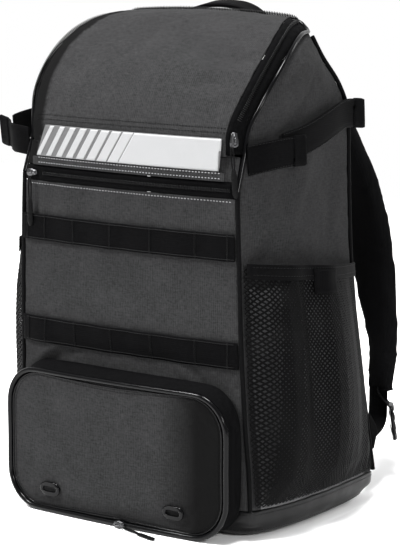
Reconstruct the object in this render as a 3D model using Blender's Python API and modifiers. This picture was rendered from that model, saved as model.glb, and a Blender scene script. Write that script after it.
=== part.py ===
# Baseball backpack standing on its base: hollow cloth body between seam lines, curved top flap with
# its zip, box pocket, mesh side pockets, webbing rows, bat straps, shoulder straps and haul handle.
# Metres, +Z up. The origin is the middle of the flat base, the front faces -Y.

import math

import bmesh
import bpy
import numpy as np
from mathutils import Matrix

# Body
front_half_width = 0.134
front_depth = 0.097
rear_half_width = 0.131
rear_depth = 0.099
boot_height = 0.030
brow_height = 0.395
ridge_height = 0.501
ridge_setback = 0.027
flap_half_width = 0.118
ridge_half_width = 0.103
rear_seam_height = 0.488
front_bulge = 0.008
ridge_crown = 0.004
side_bulge = 0.011
back_bulge = 0.008
fold_depth = 0.006

# Cloth
cloth = 0.0022
coated_cloth = 0.0032
back_padding = 0.009
mesh_cloth = 0.0014
gap = 0.0003
piping_radius = 0.0022

# Flap zip
zip_tape_width = 0.0245
rear_tape_width = 0.017
zip_tape = 0.0016
coil_radius = 0.0017
zip_end_drop = 0.020
corner_radius = 0.005
zip_fold_room = 0.0011
arc_flatten = 0.013

# Front pocket zip, band and webbing rows
pocket_zip_drop = 0.060
pocket_zip_height = 0.0155
guard_strip_height = 0.009
band_drop = 0.0345
band_height = 0.0320
band_half_width = 0.1125
band_slant_left = 0.0140
band_slant_right = 0.0030
band_lift = 0.0008
band_cloth = 0.0010
webbing_height = 0.0265
webbing = 0.0017
webbing_upper_drop = 0.107
webbing_lower_rise = 0.0375
tack_pitch = 0.046
webbing_slack = 0.0022

# Box pocket
box_half_width = 0.138
box_bottom = 0.0036
box_top = 0.1455
box_depth = 0.026
box_corner = 0.038
box_bulge = 0.008
box_flare = 0.008
box_clearance = 0.0024
box_piping_radius = 0.0028
eyelet_length = 0.026
eyelet_height = 0.014
eyelet_slot_length = 0.017
eyelet_slot_height = 0.0055
eyelet_thickness = 0.0030
eyelet_spread = 0.0790
eyelet_centre_height = 0.026
eyelet_stand = 0.0008
box_slider_x = 0.014

# Boot
boot_round = 0.020
boot_lap = 0.0012
panel_seat = 0.0008

# Mesh side pockets
mesh_front_height = 0.272
mesh_rear_height = 0.249
mesh_bulge = 0.029
mesh_foot = 0.0022
binding_height = 0.014
binding = 0.0014

# Bat straps at the sides
bat_strap_height = 0.029
bat_strap = 0.0019

# Shoulder straps and their webbing
shoulder_strap = 0.013
shoulder_strap_width = 0.064
strap_webbing_width = 0.025
strap_webbing = 0.0018
buckle_width = 0.036
buckle_length = 0.038
buckle_thickness = 0.0045
buckle_room = 0.0030
anchor_length = 0.046
anchor_reach = 0.013
anchor_height = 0.068
anchor_thickness = 0.0024
anchor_room = 0.0007

# Haul handle
handle_width = 0.021
handle_thickness = 0.0042
handle_seat = 0.0006

# Sliders and pulls
slider_length = 0.0115
slider_width = 0.0080
slider_height = 0.0045
slider_bevel = 0.0008
slider_seat = 0.0007
pull_length = 0.050
pull_width = 0.0075
pull_thickness = 0.0028
pull_bevel = 0.0008

# Heights that follow the brow and the box pocket
zip_end_height = brow_height - zip_end_drop
pocket_zip_bottom = brow_height - pocket_zip_drop
band_bottom = brow_height - band_drop
webbing_upper_centre = brow_height - webbing_upper_drop
webbing_lower_centre = box_top + webbing_lower_rise

inset = piping_radius + gap
seam_top = brow_height - 0.42 * zip_tape_width
foot_height = boot_height + panel_seat
rear_bend_height = 0.410
side_straight = 0.66  # share of the side's rows that lie below the flap zip
yoke_share = 0.88
yoke_start = 0.018
arc_angles = np.linspace(0, math.pi / 2, 10)

# Front seam from the boot to the flap zip: height as a share of seam_top, width of front_half_width
FRONT_SEAM = [
    dict(height=0.00, width=1.085),
    dict(height=0.08, width=1.104),
    dict(height=0.28, width=1.062),
    dict(height=0.51, width=1.020),
    dict(height=0.72, width=1.000),
    dict(height=0.88, width=0.984),
]

# Rear seam from the boot to the zip corner: height as a share of rear_seam_height, depth of rear_depth
# and width of rear_half_width
REAR_SEAM = [
    dict(height=0.062, depth=1.200, width=1.140),
    dict(height=0.200, depth=1.140, width=1.090),
    dict(height=0.360, depth=1.060, width=1.040),
    dict(height=0.520, depth=1.000, width=1.010),
    dict(height=0.720, depth=0.985, width=0.985),
    dict(height=0.840, depth=0.955, width=0.980),
    dict(height=0.890, depth=0.830, width=0.960),
    dict(height=0.945, depth=0.600, width=0.930),
]

# Half width of the flap from the brow to the ridge: turn as a share of the quarter turn, width of
# flap_half_width; the last row is ridge_half_width
FLAP_WIDTHS = [
    dict(turn=0.00, width=1.000),
    dict(turn=0.08, width=1.004),
    dict(turn=0.20, width=1.046),
    dict(turn=0.34, width=1.072),
    dict(turn=0.48, width=1.076),
    dict(turn=0.62, width=1.052),
    dict(turn=0.81, width=0.975),
]

# Folds pressed into the cloth: across as a share of the half width, height of ridge_height, reach and
# breadth of front_half_width, depth of fold_depth (minus is a dent), turn in degrees
FRONT_FOLDS = [
    dict(across=0.05, height=0.318, reach=1.00, breadth=0.10, depth=-1.10, turn=3),
    dict(across=-0.80, height=0.330, reach=0.16, breadth=0.10, depth=0.70, turn=50),
    dict(across=-0.55, height=0.315, reach=0.14, breadth=0.09, depth=-0.70, turn=48),
    dict(across=0.62, height=0.330, reach=0.16, breadth=0.10, depth=0.60, turn=-35),
    dict(across=-0.10, height=0.640, reach=0.10, breadth=0.09, depth=-0.45, turn=80),
    dict(across=0.30, height=0.635, reach=0.10, breadth=0.09, depth=-0.40, turn=80),
    dict(across=-0.60, height=0.640, reach=0.10, breadth=0.09, depth=-0.35, turn=80),
    dict(across=0.00, height=0.470, reach=1.10, breadth=0.16, depth=0.35, turn=0),
]
FLAP_FOLDS = [
    dict(across=-0.62, height=0.830, reach=0.20, breadth=0.09, depth=-0.80, turn=75),
    dict(across=-0.35, height=0.820, reach=0.16, breadth=0.09, depth=-0.45, turn=82),
    dict(across=0.70, height=0.945, reach=0.24, breadth=0.08, depth=-0.60, turn=-14),
    dict(across=0.74, height=0.890, reach=0.20, breadth=0.08, depth=-0.50, turn=-20),
    dict(across=0.10, height=0.900, reach=0.50, breadth=0.22, depth=0.50, turn=0),
]

# Folds of the sides: along as a share of the way from the front seam to the rear seam, height of
# ridge_height, reach and breadth of rear_depth, depth of fold_depth
SIDE_FOLDS = [
    dict(along=0.16, height=0.560, reach=0.42, breadth=0.12, depth=-1.00, turn=62),
    dict(along=0.45, height=0.580, reach=0.36, breadth=0.16, depth=0.60, turn=40),
    dict(along=0.35, height=0.860, reach=0.40, breadth=0.14, depth=-0.60, turn=38),
    dict(along=0.72, height=0.650, reach=0.45, breadth=0.16, depth=-0.50, turn=80),
]

# Hanging folds of the mesh: along from the front seam to the rear seam, breadth the same, depth of
# mesh_bulge
MESH_FOLDS = [
    dict(along=0.16, breadth=0.10, depth=0.16),
    dict(along=0.36, breadth=0.07, depth=-0.34),
    dict(along=0.55, breadth=0.10, depth=0.14),
    dict(along=0.86, breadth=0.07, depth=-0.25),
]

# Right bat strap from above, as shares of rear_half_width out, rear_depth back and ridge_height up
BAT_STRAP_FRONT_RIGHT = [
    dict(out=1.027, back=-0.850, height=0.740),
    dict(out=1.088, back=-0.670, height=0.746),
    dict(out=1.126, back=-0.430, height=0.750),
    dict(out=1.147, back=-0.250, height=0.751),
    dict(out=1.166, back=-0.140, height=0.751),
]
BAT_STRAP_REAR_RIGHT = [
    dict(out=1.105, back=-0.420, height=0.758),
    dict(out=1.124, back=-0.200, height=0.764),
    dict(out=1.130, back=0.050, height=0.774),
    dict(out=1.095, back=0.480, height=0.793),
    dict(out=1.024, back=0.880, height=0.805),
    dict(out=1.005, back=1.075, height=0.802),
    dict(out=1.030, back=1.170, height=0.800),
]
# Left bat strap, which hangs looser
BAT_STRAP_FRONT_LEFT = [
    dict(out=1.022, back=-0.850, height=0.742),
    dict(out=1.120, back=-0.860, height=0.745),
    dict(out=1.230, back=-0.800, height=0.747),
    dict(out=1.300, back=-0.700, height=0.751),
    dict(out=1.380, back=-0.650, height=0.753),
    dict(out=1.440, back=-0.630, height=0.756),
]
BAT_STRAP_REAR_LEFT = [
    dict(out=1.277, back=-0.690, height=0.760),
    dict(out=1.310, back=-0.500, height=0.764),
    dict(out=1.310, back=-0.200, height=0.770),
    dict(out=1.240, back=0.250, height=0.782),
    dict(out=1.120, back=0.650, height=0.795),
    dict(out=1.028, back=0.900, height=0.803),
    dict(out=1.006, back=1.075, height=0.802),
    dict(out=1.030, back=1.170, height=0.800),
]

# Shoulder strap from its root on the back panel to the buckle, as shares of rear_half_width out,
# rear_depth back, ridge_height up and shoulder_strap_width wide
SHOULDER_STRAP = [
    dict(out=0.400, back=0.980, height=0.868, width=1.00),
    dict(out=0.440, back=1.200, height=0.860, width=1.00),
    dict(out=0.470, back=1.450, height=0.820, width=1.00),
    dict(out=0.480, back=1.710, height=0.740, width=1.00),
    dict(out=0.492, back=1.990, height=0.655, width=1.00),
    dict(out=0.526, back=2.190, height=0.557, width=0.98),
    dict(out=0.584, back=2.290, height=0.447, width=0.92),
    dict(out=0.648, back=2.290, height=0.340, width=0.78),
    dict(out=0.710, back=2.230, height=0.274, width=0.66),
    dict(out=0.755, back=2.110, height=0.218, width=0.50),
    dict(out=0.768, back=2.050, height=0.185, width=0.42),
]
# Webbing from the strap's end past the buckle to the anchor at the foot of the rear seam
LOWER_WEBBING = [
    dict(out=0.772, back=2.040, height=0.176),
    dict(out=0.775, back=2.025, height=0.128),
    dict(out=0.840, back=1.820, height=0.106),
    dict(out=0.955, back=1.520, height=0.095),
    dict(out=1.060, back=1.211, height=0.092),
]

# Half of the haul handle, from its foot on the yoke to the top of its arch: out as a share of
# ridge_half_width, back of rear_depth, height of ridge_height, and turn from lying on the yoke (0)
# to lying level (1)
HANDLE = [
    dict(out=0.700, back=0.000, height=0.944, turn=0.00),
    dict(out=0.610, back=0.000, height=0.950, turn=0.00),
    dict(out=0.535, back=0.665, height=0.970, turn=0.30),
    dict(out=0.420, back=0.650, height=0.995, turn=0.75),
    dict(out=0.230, back=0.625, height=1.013, turn=1.00),
    dict(out=0.000, back=0.620, height=1.018, turn=1.00),
]

# How much fuller the pack stands on its left: height as a share of ridge_height, extra width as a
# share of the distance from the middle
LEFT_FULLNESS = [
    dict(height=0.00, extra=-0.010),
    dict(height=0.26, extra=-0.006),
    dict(height=0.40, extra=0.022),
    dict(height=0.60, extra=0.032),
    dict(height=0.74, extra=0.040),
    dict(height=0.81, extra=0.052),
    dict(height=0.88, extra=0.026),
    dict(height=0.95, extra=0.000),
    dict(height=1.03, extra=0.000),
]

# Colours, roughness and metallic value of the materials
LOOKS = dict(
    charcoal_cloth=((0.075, 0.075, 0.078), 0.85, 0.0),
    black_cloth=((0.012, 0.012, 0.013), 0.80, 0.0),
    black_webbing=((0.010, 0.010, 0.011), 0.70, 0.0),
    black_mesh=((0.008, 0.008, 0.009), 0.75, 0.0),
    coated_cloth=((0.040, 0.040, 0.042), 0.50, 0.0),
    reflective_band=((0.80, 0.81, 0.83), 0.35, 0.2),
    glossy_piping=((0.012, 0.012, 0.013), 0.25, 0.0),
    gloss_plastic=((0.010, 0.010, 0.011), 0.20, 0.0),
    dark_metal=((0.30, 0.30, 0.31), 0.30, 1.0),
)

for old in list(bpy.data.objects):
    bpy.data.objects.remove(old, do_unlink=True)
parts = bpy.data.collections.new("bat_backpack")
bpy.context.scene.collection.children.link(parts)


def make_material(name):
    colour, roughness, metallic = LOOKS[name]
    made = bpy.data.materials.new(name)
    made.use_nodes = True
    shader = made.node_tree.nodes["Principled BSDF"]
    shader.inputs["Base Color"].default_value = (*colour, 1.0)
    shader.inputs["Roughness"].default_value = roughness
    shader.inputs["Metallic"].default_value = metallic
    return made


materials = {name: make_material(name) for name in LOOKS}


def column(table, name):
    return [row[name] for row in table]


def smooth(places, values, at):
    """Cubic curve through the values, with no kinks at the table's rows."""
    places, values = np.array(places, float), np.array(values, float)
    slopes = np.gradient(values, places)
    i = int(np.clip(np.searchsorted(places, at) - 1, 0, len(places) - 2))
    step = places[i + 1] - places[i]
    t = min(max((at - places[i]) / step, 0.0), 1.0)
    start, end = (2 * t**3 - 3 * t**2 + 1), (3 * t**2 - 2 * t**3)
    lead, trail = (t**3 - 2 * t**2 + t) * step, (t**3 - t**2) * step
    return start * values[i] + end * values[i + 1] + lead * slopes[i] + trail * slopes[i + 1]


def unit(vector):
    return np.array(vector, float) / np.linalg.norm(vector)


def lerp(first, second, share):
    return np.array(first, float) * (1 - share) + np.array(second, float) * share


def path_of(table, out_size, back_size, height_size, count, mirror=1):
    """Evenly spaced points on the smooth curve through a table of out, back and height shares."""
    rows = np.array([[r["out"] * out_size * mirror, r["back"] * back_size, r["height"] * height_size]
                     for r in table])
    steps = np.concatenate([[0], np.cumsum(np.linalg.norm(np.diff(rows, axis=0), axis=1))])
    places = np.linspace(0, steps[-1], count)
    return [np.array([smooth(steps, rows[:, axis], s) for axis in range(3)]) for s in places]


# Surfaces of the body


def front_seam_x(height):
    share = height / seam_top
    if share > FRONT_SEAM[-1]["height"]:
        low, top = FRONT_SEAM[-1], tape_outer(0.0)[0]
        start = low["width"] * front_half_width
        return start + (top - start) * (share - low["height"]) / (1 - low["height"])
    return smooth(column(FRONT_SEAM, "height"), column(FRONT_SEAM, "width"), share) * front_half_width


def front_seam_y(height):
    """The seam lies on the front face, and moves back round the corner beside the flap zip."""
    start = pocket_zip_bottom
    share = min(max((height - start) / (seam_top - start), 0.0), 1.0)
    return -front_depth + (tape_outer(0.0)[1] + front_depth) * share**2 * (3 - 2 * share)


def folds_at(table, across, height):
    total = 0.0
    for row in table:
        dx = (across - row["across"]) * front_half_width
        dz = height - row["height"] * ridge_height
        turn = math.radians(row["turn"])
        along = (dx * math.cos(turn) + dz * math.sin(turn)) / (row["reach"] * front_half_width)
        over = (-dx * math.sin(turn) + dz * math.cos(turn)) / (row["breadth"] * front_half_width)
        total += row["depth"] * math.exp(-along**2 - over**2)
    return total * fold_depth


def front_point(x, height, lift=0.0):
    """A point of the front face below the brow, lifted off the cloth by lift."""
    half = front_seam_x(height)
    across = min(abs(x) / half, 1.0)
    bulge = front_bulge * (1 - across**2)
    corner = (front_seam_y(height) + front_depth) * max(0.0, (across - 0.86) / 0.14) ** 2
    folds = folds_at(FRONT_FOLDS, x / half, height) * (1 - across**4)
    if height > pocket_zip_bottom:
        folds = 0.0
    return np.array([x, -front_depth - bulge + corner - folds - lift, height])


def flap_half(angle):
    turns = column(FLAP_WIDTHS, "turn") + [1.0]
    widths = column(FLAP_WIDTHS, "width") + [ridge_half_width / flap_half_width]
    return smooth(turns, widths, angle / (math.pi / 2)) * flap_half_width


def arc_point(angle):
    """Depth and height of the flap's edge on its way from the brow to the ridge."""
    depth, rise = front_depth + ridge_setback, ridge_height - brow_height
    back = ridge_setback - depth * math.cos(angle) + arc_flatten * math.sin(2 * angle)
    return back, brow_height + rise * math.sin(angle)


def flap_point(across, angle, lift=0.0):
    """A point of the flap above the brow, with the angle from 0 at the brow to a right angle at the ridge."""
    back, height = arc_point(angle)
    ahead, behind = arc_point(angle + 0.01), arc_point(angle - 0.01)
    outward = unit([0.0, behind[1] - ahead[1], ahead[0] - behind[0]])
    share = angle / (math.pi / 2)
    crown = front_bulge * (1 - share) + ridge_crown * share
    half = flap_half(angle)
    reach = front_seam_x(seam_top) if share < 0.1 else half
    swell = crown * (1 - (across * half / reach) ** 2)
    folds = folds_at(FLAP_FOLDS, across, height) * (1 - across**4) * min(1.0, angle / 0.3)
    return np.array([across * half, back, height]) + outward * (swell + folds + lift)


def tape_inner(angle):
    return np.array([flap_half(angle), *arc_point(angle)])


def tape_outer(angle):
    """The flap zip's tape turns from the front face over the edge, so its outer edge lies lower."""
    share = angle / (math.pi / 2)
    lean = lerp([0.50, 0.60, -0.42], [0.80, 0.0, -0.60], share)
    return tape_inner(angle) + lean * zip_tape_width


def corner_point(radius_in, width, turn):
    """A point of the zip's corner behind the ridge, turning from the side to the rear."""
    centre = np.array([ridge_half_width - corner_radius, *arc_point(math.pi / 2)])
    flat = np.array([math.cos(turn), math.sin(turn), 0.0]) * radius_in
    lean = np.array([0.80 * math.cos(turn), 0.96 * math.sin(turn),
                     -0.60 * math.cos(turn) - 0.28 * math.sin(turn)])
    return centre + flat + lean * width


def rear_tape_point(x, width):
    crown = ridge_crown * (1 - (x / ridge_half_width) ** 2)
    centre = corner_point(corner_radius, width, math.pi / 2)
    return np.array([x, centre[1], centre[2] + crown])


def front_edge(share):
    """The right side's front edge: up the seam to seam_top, then over the flap zip's outer edge."""
    if share <= side_straight:
        height = foot_height + (seam_top - foot_height) * share / side_straight
        return np.array([front_seam_x(height), front_seam_y(height), height])
    return tape_outer((share - side_straight) / (1 - side_straight) * math.pi / 2)


def rear_edge(share):
    """The right side's rear edge, from the boot to the middle of the zip's corner."""
    top = corner_point(corner_radius, zip_tape_width, math.pi / 4)
    low, bend = foot_height, rear_bend_height
    if share <= side_straight:
        height = low + (bend - low) * share / side_straight
    else:
        height = bend + (top[2] - bend) * (share - side_straight) / (1 - side_straight)
    heights = [row["height"] * rear_seam_height for row in REAR_SEAM] + [top[2]]
    depths = [row["depth"] * rear_depth for row in REAR_SEAM] + [top[1]]
    widths = [row["width"] * rear_half_width for row in REAR_SEAM] + [top[0]]
    return np.array([smooth(heights, widths, height), smooth(heights, depths, height), height])


def along_seam(edge, share, sign):
    """The edge point moved into the side panel, square to the seam, by the room that its piping takes."""
    step = 0.004
    ahead, behind = edge(min(share + step, 1.0)), edge(max(share - step, 0.0))
    tangent = unit(ahead - behind)
    inward = unit(np.cross(tangent, [sign, 0.0, 0.0]))
    return edge(share) + inward * (inset + gap)


def side_folds(along, height):
    total = 0.0
    for row in SIDE_FOLDS:
        dy = (along - row["along"]) * 2 * rear_depth
        dz = height - row["height"] * ridge_height
        turn = math.radians(row["turn"])
        far = (dy * math.cos(turn) + dz * math.sin(turn)) / (row["reach"] * rear_depth)
        over = (-dy * math.sin(turn) + dz * math.cos(turn)) / (row["breadth"] * rear_depth)
        total += row["depth"] * math.exp(-far**2 - over**2)
    return total * fold_depth


def side_point(along, share, lift=0.0):
    """A point of the right side between its two edges, lifted outward by lift."""
    base = lerp(along_seam(front_edge, share, 1.0), along_seam(rear_edge, share, -1.0), along)
    skewed = along**0.72
    swell = 4 * skewed * (1 - skewed)
    room = min(1.0, (1.0 - share) * 6)
    out = (side_bulge * swell + side_folds(along, base[2]) * min(1.0, swell * 1.6)) * room
    return base + np.array([out + lift, 0.0, 0.0])


def back_point(across, share):
    """A point of the back between the two rear seams."""
    edge = rear_edge(share)
    reach = edge[0] - inset - cloth
    swell = back_bulge * (1 - across**4)
    return np.array([across * reach, edge[1] + swell, edge[2]])


def yoke_top(across):
    """The yoke's upper edge, just behind the zip's rear run and its corners."""
    down = np.array([0.0, 0.35, -0.94]) * (inset + gap)
    turn_share = 0.80
    if abs(across) <= turn_share:
        x = across / turn_share * (ridge_half_width - corner_radius)
        return rear_tape_point(x, rear_tape_width) + down
    turn = math.pi / 2 - (abs(across) - turn_share) / (1 - turn_share) * math.pi / 4.6
    width = zip_tape_width + (rear_tape_width - zip_tape_width) * turn / (math.pi / 2)
    return corner_point(corner_radius, width, turn) * [np.sign(across), 1, 1] + down


def yoke_point(across, up):
    """Between the back panel's top edge and the zip, with its ends on the rear seams."""
    low, high = back_point(across, yoke_share), yoke_top(across)
    base = lerp(low, high, up)
    side = 1 if across >= 0 else -1
    ends = lerp(back_point(1.0, yoke_share), yoke_top(1.0), up)
    seam = rear_edge(yoke_share + (0.985 - yoke_share) * up) - np.array([inset + cloth, 0.0, 0.0])
    return base + (seam - ends) * [side, 1, 1] * abs(across) ** 3


def filled_left(point):
    """The point moved out by LEFT_FULLNESS if it lies on the left."""
    x, y, z = point
    extra = smooth(column(LEFT_FULLNESS, "height"), column(LEFT_FULLNESS, "extra"), z / ridge_height)
    return (x * (1 + extra) if x < 0 else x, y, z)


# Makers of solids


def finish(thing, name, look):
    thing.name = name
    thing.data.name = name
    thing.data.materials.clear()
    thing.data.materials.append(materials[look])
    for collection in list(thing.users_collection):
        collection.objects.unlink(thing)
    parts.objects.link(thing)
    return thing


def solidify(thing, thickness, side):
    shell = thing.modifiers.new("Solidify", "SOLIDIFY")
    shell.thickness = thickness
    shell.offset = side
    shell.use_even_offset = True
    return thing


def sheet(name, grid, thickness, look, facing, side=-1.0, ring=False):
    """An open surface through a grid of points, given its thickness on one side. The facing vector
    tells which way its outer face looks, and a ring closes on itself along its rows."""
    mesh = bpy.data.meshes.new(name)
    wide = len(grid[0])
    points = [filled_left(point) for row in grid for point in row]
    faces = []
    for i in range(len(grid) - 1):
        for j in range(wide if ring else wide - 1):
            k = (j + 1) % wide
            faces.append((i * wide + j, i * wide + k, (i + 1) * wide + k, (i + 1) * wide + j))
    mesh.from_pydata(points, [], faces)
    mesh.update()
    if callable(facing):
        agree = sum(np.dot(face.normal, facing(np.array(face.center))) for face in mesh.polygons)
    else:
        agree = sum(np.dot(face.normal, facing) * face.area for face in mesh.polygons)
    if agree < 0:
        mesh.flip_normals()
    mesh.shade_smooth()
    thing = bpy.data.objects.new(name, mesh)
    parts.objects.link(thing)
    solidify(thing, thickness, side)
    return finish(thing, name, look)


def tube(name, points, radius, look, cyclic=False, sides=1):
    data = bpy.data.curves.new(name, "CURVE")
    data.dimensions = "3D"
    spline = data.splines.new("POLY")
    spline.points.add(len(points) - 1)
    for place, point in zip(spline.points, points):
        place.co = (*filled_left(point), 1.0)
    spline.use_cyclic_u = cyclic
    data.bevel_depth = radius
    data.bevel_resolution = sides
    data.use_fill_caps = not cyclic
    thing = bpy.data.objects.new(name, data)
    parts.objects.link(thing)
    return finish(thing, name, look)


def ribbon(name, centres, across, widths, thickness, look, columns=2):
    """A strap along its centres: across gives the way its width runs at each of them."""
    grid = []
    for centre, way, width in zip(centres, across, widths):
        shares = np.linspace(-0.5, 0.5, columns)
        grid.append([centre + np.array(way) * width * share for share in shares])
    return sheet(name, grid, thickness, look, facing=(1.0, 0.3, 0.1), side=0.0)


def plate(name, outline, holes, thickness, look, centre, rightward, upward):
    """A flat outline with holes, as a filled 2D curve with an extrusion, turned into place."""
    data = bpy.data.curves.new(name, "CURVE")
    data.dimensions = "2D"
    data.fill_mode = "BOTH"
    data.extrude = thickness / 2
    for ring in [outline] + holes:
        spline = data.splines.new("POLY")
        spline.points.add(len(ring) - 1)
        for place, point in zip(spline.points, ring):
            place.co = (point[0], point[1], 0.0, 1.0)
        spline.use_cyclic_u = True
    thing = bpy.data.objects.new(name, data)
    parts.objects.link(thing)
    finish(thing, name, look)
    x_way = unit(rightward)
    z_way = unit(np.cross(x_way, upward))
    y_way = np.cross(z_way, x_way)
    turned = Matrix((x_way, y_way, z_way)).transposed().to_4x4()
    thing.matrix_world = Matrix.Translation(filled_left(centre)) @ turned
    return thing


def stadium(length, height, steps=6):
    """A slot's outline: two half circles joined by straight sides."""
    radius = height / 2
    reach = length / 2 - radius
    ring = []
    for side, start in ((1, -math.pi / 2), (-1, math.pi / 2)):
        for i in range(steps + 1):
            turn = start + math.pi * i / steps
            ring.append((side * reach + radius * math.cos(turn), radius * math.sin(turn)))
    return ring


def block(name, centre, size, axes, look, bevel):
    """A bevelled block on its own axes, given as its length, width and height directions."""
    mesh = bpy.data.meshes.new(name)
    shape = bmesh.new()
    bmesh.ops.create_cube(shape, size=1.0)
    for vert in shape.verts:
        spot = np.array(filled_left(centre))
        for axis in range(3):
            spot = spot + np.array(axes[axis]) * size[axis] * vert.co[axis]
        vert.co = spot
    shape.normal_update()
    bmesh.ops.recalc_face_normals(shape, faces=shape.faces)
    shape.to_mesh(mesh)
    shape.free()
    thing = bpy.data.objects.new(name, mesh)
    parts.objects.link(thing)
    edge = thing.modifiers.new("Bevel", "BEVEL")
    edge.width = bevel
    edge.segments = 1
    return finish(thing, name, look)


def mirrored(points):
    return [np.array(point) * [-1, 1, 1] for point in points]


# Body cloth


def make_front_panel():
    rows = []
    for height in np.linspace(foot_height, pocket_zip_bottom - gap, 14):
        reach = front_seam_x(height) - inset
        rows.append([front_point(share * reach, height) for share in np.linspace(-1, 1, 13)])
    sheet("front_panel", rows, cloth, "charcoal_cloth", facing=(0, -1, 0))


def make_flap():
    """The flap starts above the pocket zip, narrows beside the flap zip's ends and ends at the ridge."""
    rows = []
    shares = np.linspace(-1, 1, 12)
    start = pocket_zip_bottom + pocket_zip_height + gap
    for height in np.linspace(start, zip_end_height - 4 * gap, 3):
        reach = front_seam_x(height) - inset
        rows.append([front_point(share * reach, height) for share in shares])
    for height in (zip_end_height, (zip_end_height + brow_height) / 2):
        rows.append([front_point(share * (flap_half_width - gap), height) for share in shares])
    for angle in arc_angles:
        narrow = 1 - gap / flap_half(angle)
        rows.append([flap_point(share * narrow, angle) for share in shares])
    for turn in (math.pi / 6, math.pi / 3, math.pi / 2):
        reach = ridge_half_width - corner_radius + (corner_radius - gap) * math.cos(turn)
        back = ridge_setback + (corner_radius - gap) * math.sin(turn)
        rows.append([np.array([share * reach, back, ridge_height + ridge_crown * (1 - share**2)])
                     for share in shares])
    sheet("flap", rows, cloth, "charcoal_cloth", facing=(0, -1, 1))


def flap_zip_stations():
    """Inner and outer edge points of the zip tape, from its right front end over to the left one."""
    half = []
    for height in (zip_end_height + 4 * gap, brow_height):
        share = (height - zip_end_height) / (brow_height - zip_end_height)
        inner = front_point(flap_half_width, height)
        seam_height = zip_end_height + 4 * gap + (seam_top - zip_end_height) * share
        outer = np.array([front_seam_x(seam_height), front_seam_y(seam_height), seam_height])
        half.append((inner, outer))
    half.pop()
    for angle in arc_angles:
        half.append((flap_point(1.0, angle), tape_outer(angle)))
    for turn in (math.pi / 6, math.pi / 3, math.pi / 2):
        width = zip_tape_width + (rear_tape_width - zip_tape_width) * turn / (math.pi / 2)
        half.append((corner_point(corner_radius, 0.0, turn), corner_point(corner_radius, width, turn)))
    rear = []
    for x in np.linspace(ridge_half_width - corner_radius, -ridge_half_width + corner_radius, 9)[1:-1]:
        rear.append((rear_tape_point(x, 0.0), rear_tape_point(x, rear_tape_width)))
    left = [tuple(mirrored(pair)) for pair in reversed(half)]
    return half + rear + left


def make_flap_zip():
    stations = flap_zip_stations()
    rows, coil = [], []
    inside = np.array([0.0, 0.0, brow_height - zip_tape_width])
    for i, (inner, outer) in enumerate(stations):
        way = unit(outer - inner)
        start, end = inner + way * (gap + zip_fold_room), outer - way * inset
        rows.append([lerp(start, end, share) for share in (0.0, 0.42, 1.0)])
    for i, row in enumerate(rows):
        ahead, behind = rows[min(i + 1, len(rows) - 1)][1], rows[max(i - 1, 0)][1]
        normal = unit(np.cross(unit(ahead - behind), unit(row[2] - row[0])))
        normal = normal if np.dot(normal, row[1] - inside) > 0 else -normal
        coil.append((row[1], normal, unit(ahead - behind), unit(row[2] - row[0])))
    sheet("flap_zip_tape", rows, zip_tape, "black_cloth", facing=lambda centre: centre - inside)
    lifted = [point + normal * (coil_radius + gap) for point, normal, ahead, way in coil[2:-2]]
    tube("flap_zip_coil", lifted, coil_radius, "black_cloth", sides=0)
    tube("flap_zip_piping", [outer for inner, outer in stations], piping_radius, "glossy_piping")
    point, normal, ahead, way = coil[1]
    seat = point + normal * (slider_height / 2 + slider_seat)
    block("flap_slider", seat, (slider_length, slider_width, slider_height), (ahead, way, normal),
          "dark_metal", slider_bevel)
    drop = unit((0.10, 0.0, -1.0))
    start = seat - ahead * (slider_length / 2 + gap) + normal * pull_thickness
    start[1] = min(start[1], -front_depth - piping_radius - pull_thickness / 2 + gap)
    hang = unit(np.cross(drop, (1.0, 0.0, 0.0)))
    place = start + drop * (pull_length / 2)
    block("flap_pull", place, (pull_length, pull_width, pull_thickness), (drop, np.cross(drop, hang), hang),
          "black_webbing", pull_bevel)


def make_side(side, sign):
    arc = side_straight + (1 - side_straight) * arc_angles / (math.pi / 2)
    beside = side_straight * (zip_end_height + 4 * gap - foot_height) / (seam_top - foot_height)
    shares = np.concatenate([np.linspace(0, beside, 11), arc])
    rows = []
    for share in shares:
        row = [side_point(along, share) for along in np.linspace(0, 1, 8)]
        rows.append(row if sign > 0 else mirrored(row))
    sheet("side_panel_" + side, rows, cloth, "charcoal_cloth", facing=(sign, 0, 0))
    seam = [front_edge(share) for share in shares if front_edge(share)[2] < zip_end_height - 2 * gap]
    tube("front_piping_" + side, seam if sign > 0 else mirrored(seam), piping_radius, "black_cloth")
    rear = [rear_edge(share) for share in shares[:-1]]
    end = rear_edge(1.0)
    rear.append(end + unit(rear[-1] - end) * (2 * piping_radius + gap))
    tube("rear_piping_" + side, rear if sign > 0 else mirrored(rear), piping_radius, "black_cloth")


def make_back():
    columns = np.linspace(-1, 1, 9)
    rows = [[back_point(across, share) for across in columns] for share in np.linspace(0.004, yoke_share, 11)]
    sheet("back_panel", rows, back_padding, "black_cloth", facing=(0, 1, 0))
    rows = [[yoke_point(across, up) for across in columns] for up in np.linspace(yoke_start, 1, 5)]
    sheet("top_yoke", rows, cloth, "charcoal_cloth", facing=(0, 1, 0.3))


# Boot


def boot_outline():
    """The body's outline just above the boot, as one ring that starts at the middle of the front."""
    reach = front_seam_x(foot_height) - inset
    front = [front_point(share * reach, foot_height) for share in np.linspace(0, 1, 6)[:-1]]
    side = [side_point(along, 0.0) for along in np.linspace(0, 1, 6)]
    rear = [back_point(across, 0.0) for across in np.linspace(1, 0, 6)[1:]]
    half = [point[:2] for point in front + side + rear]
    left = [point * [-1, 1] for point in reversed(half[1:-1])]
    return np.array(half + left)


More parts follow.
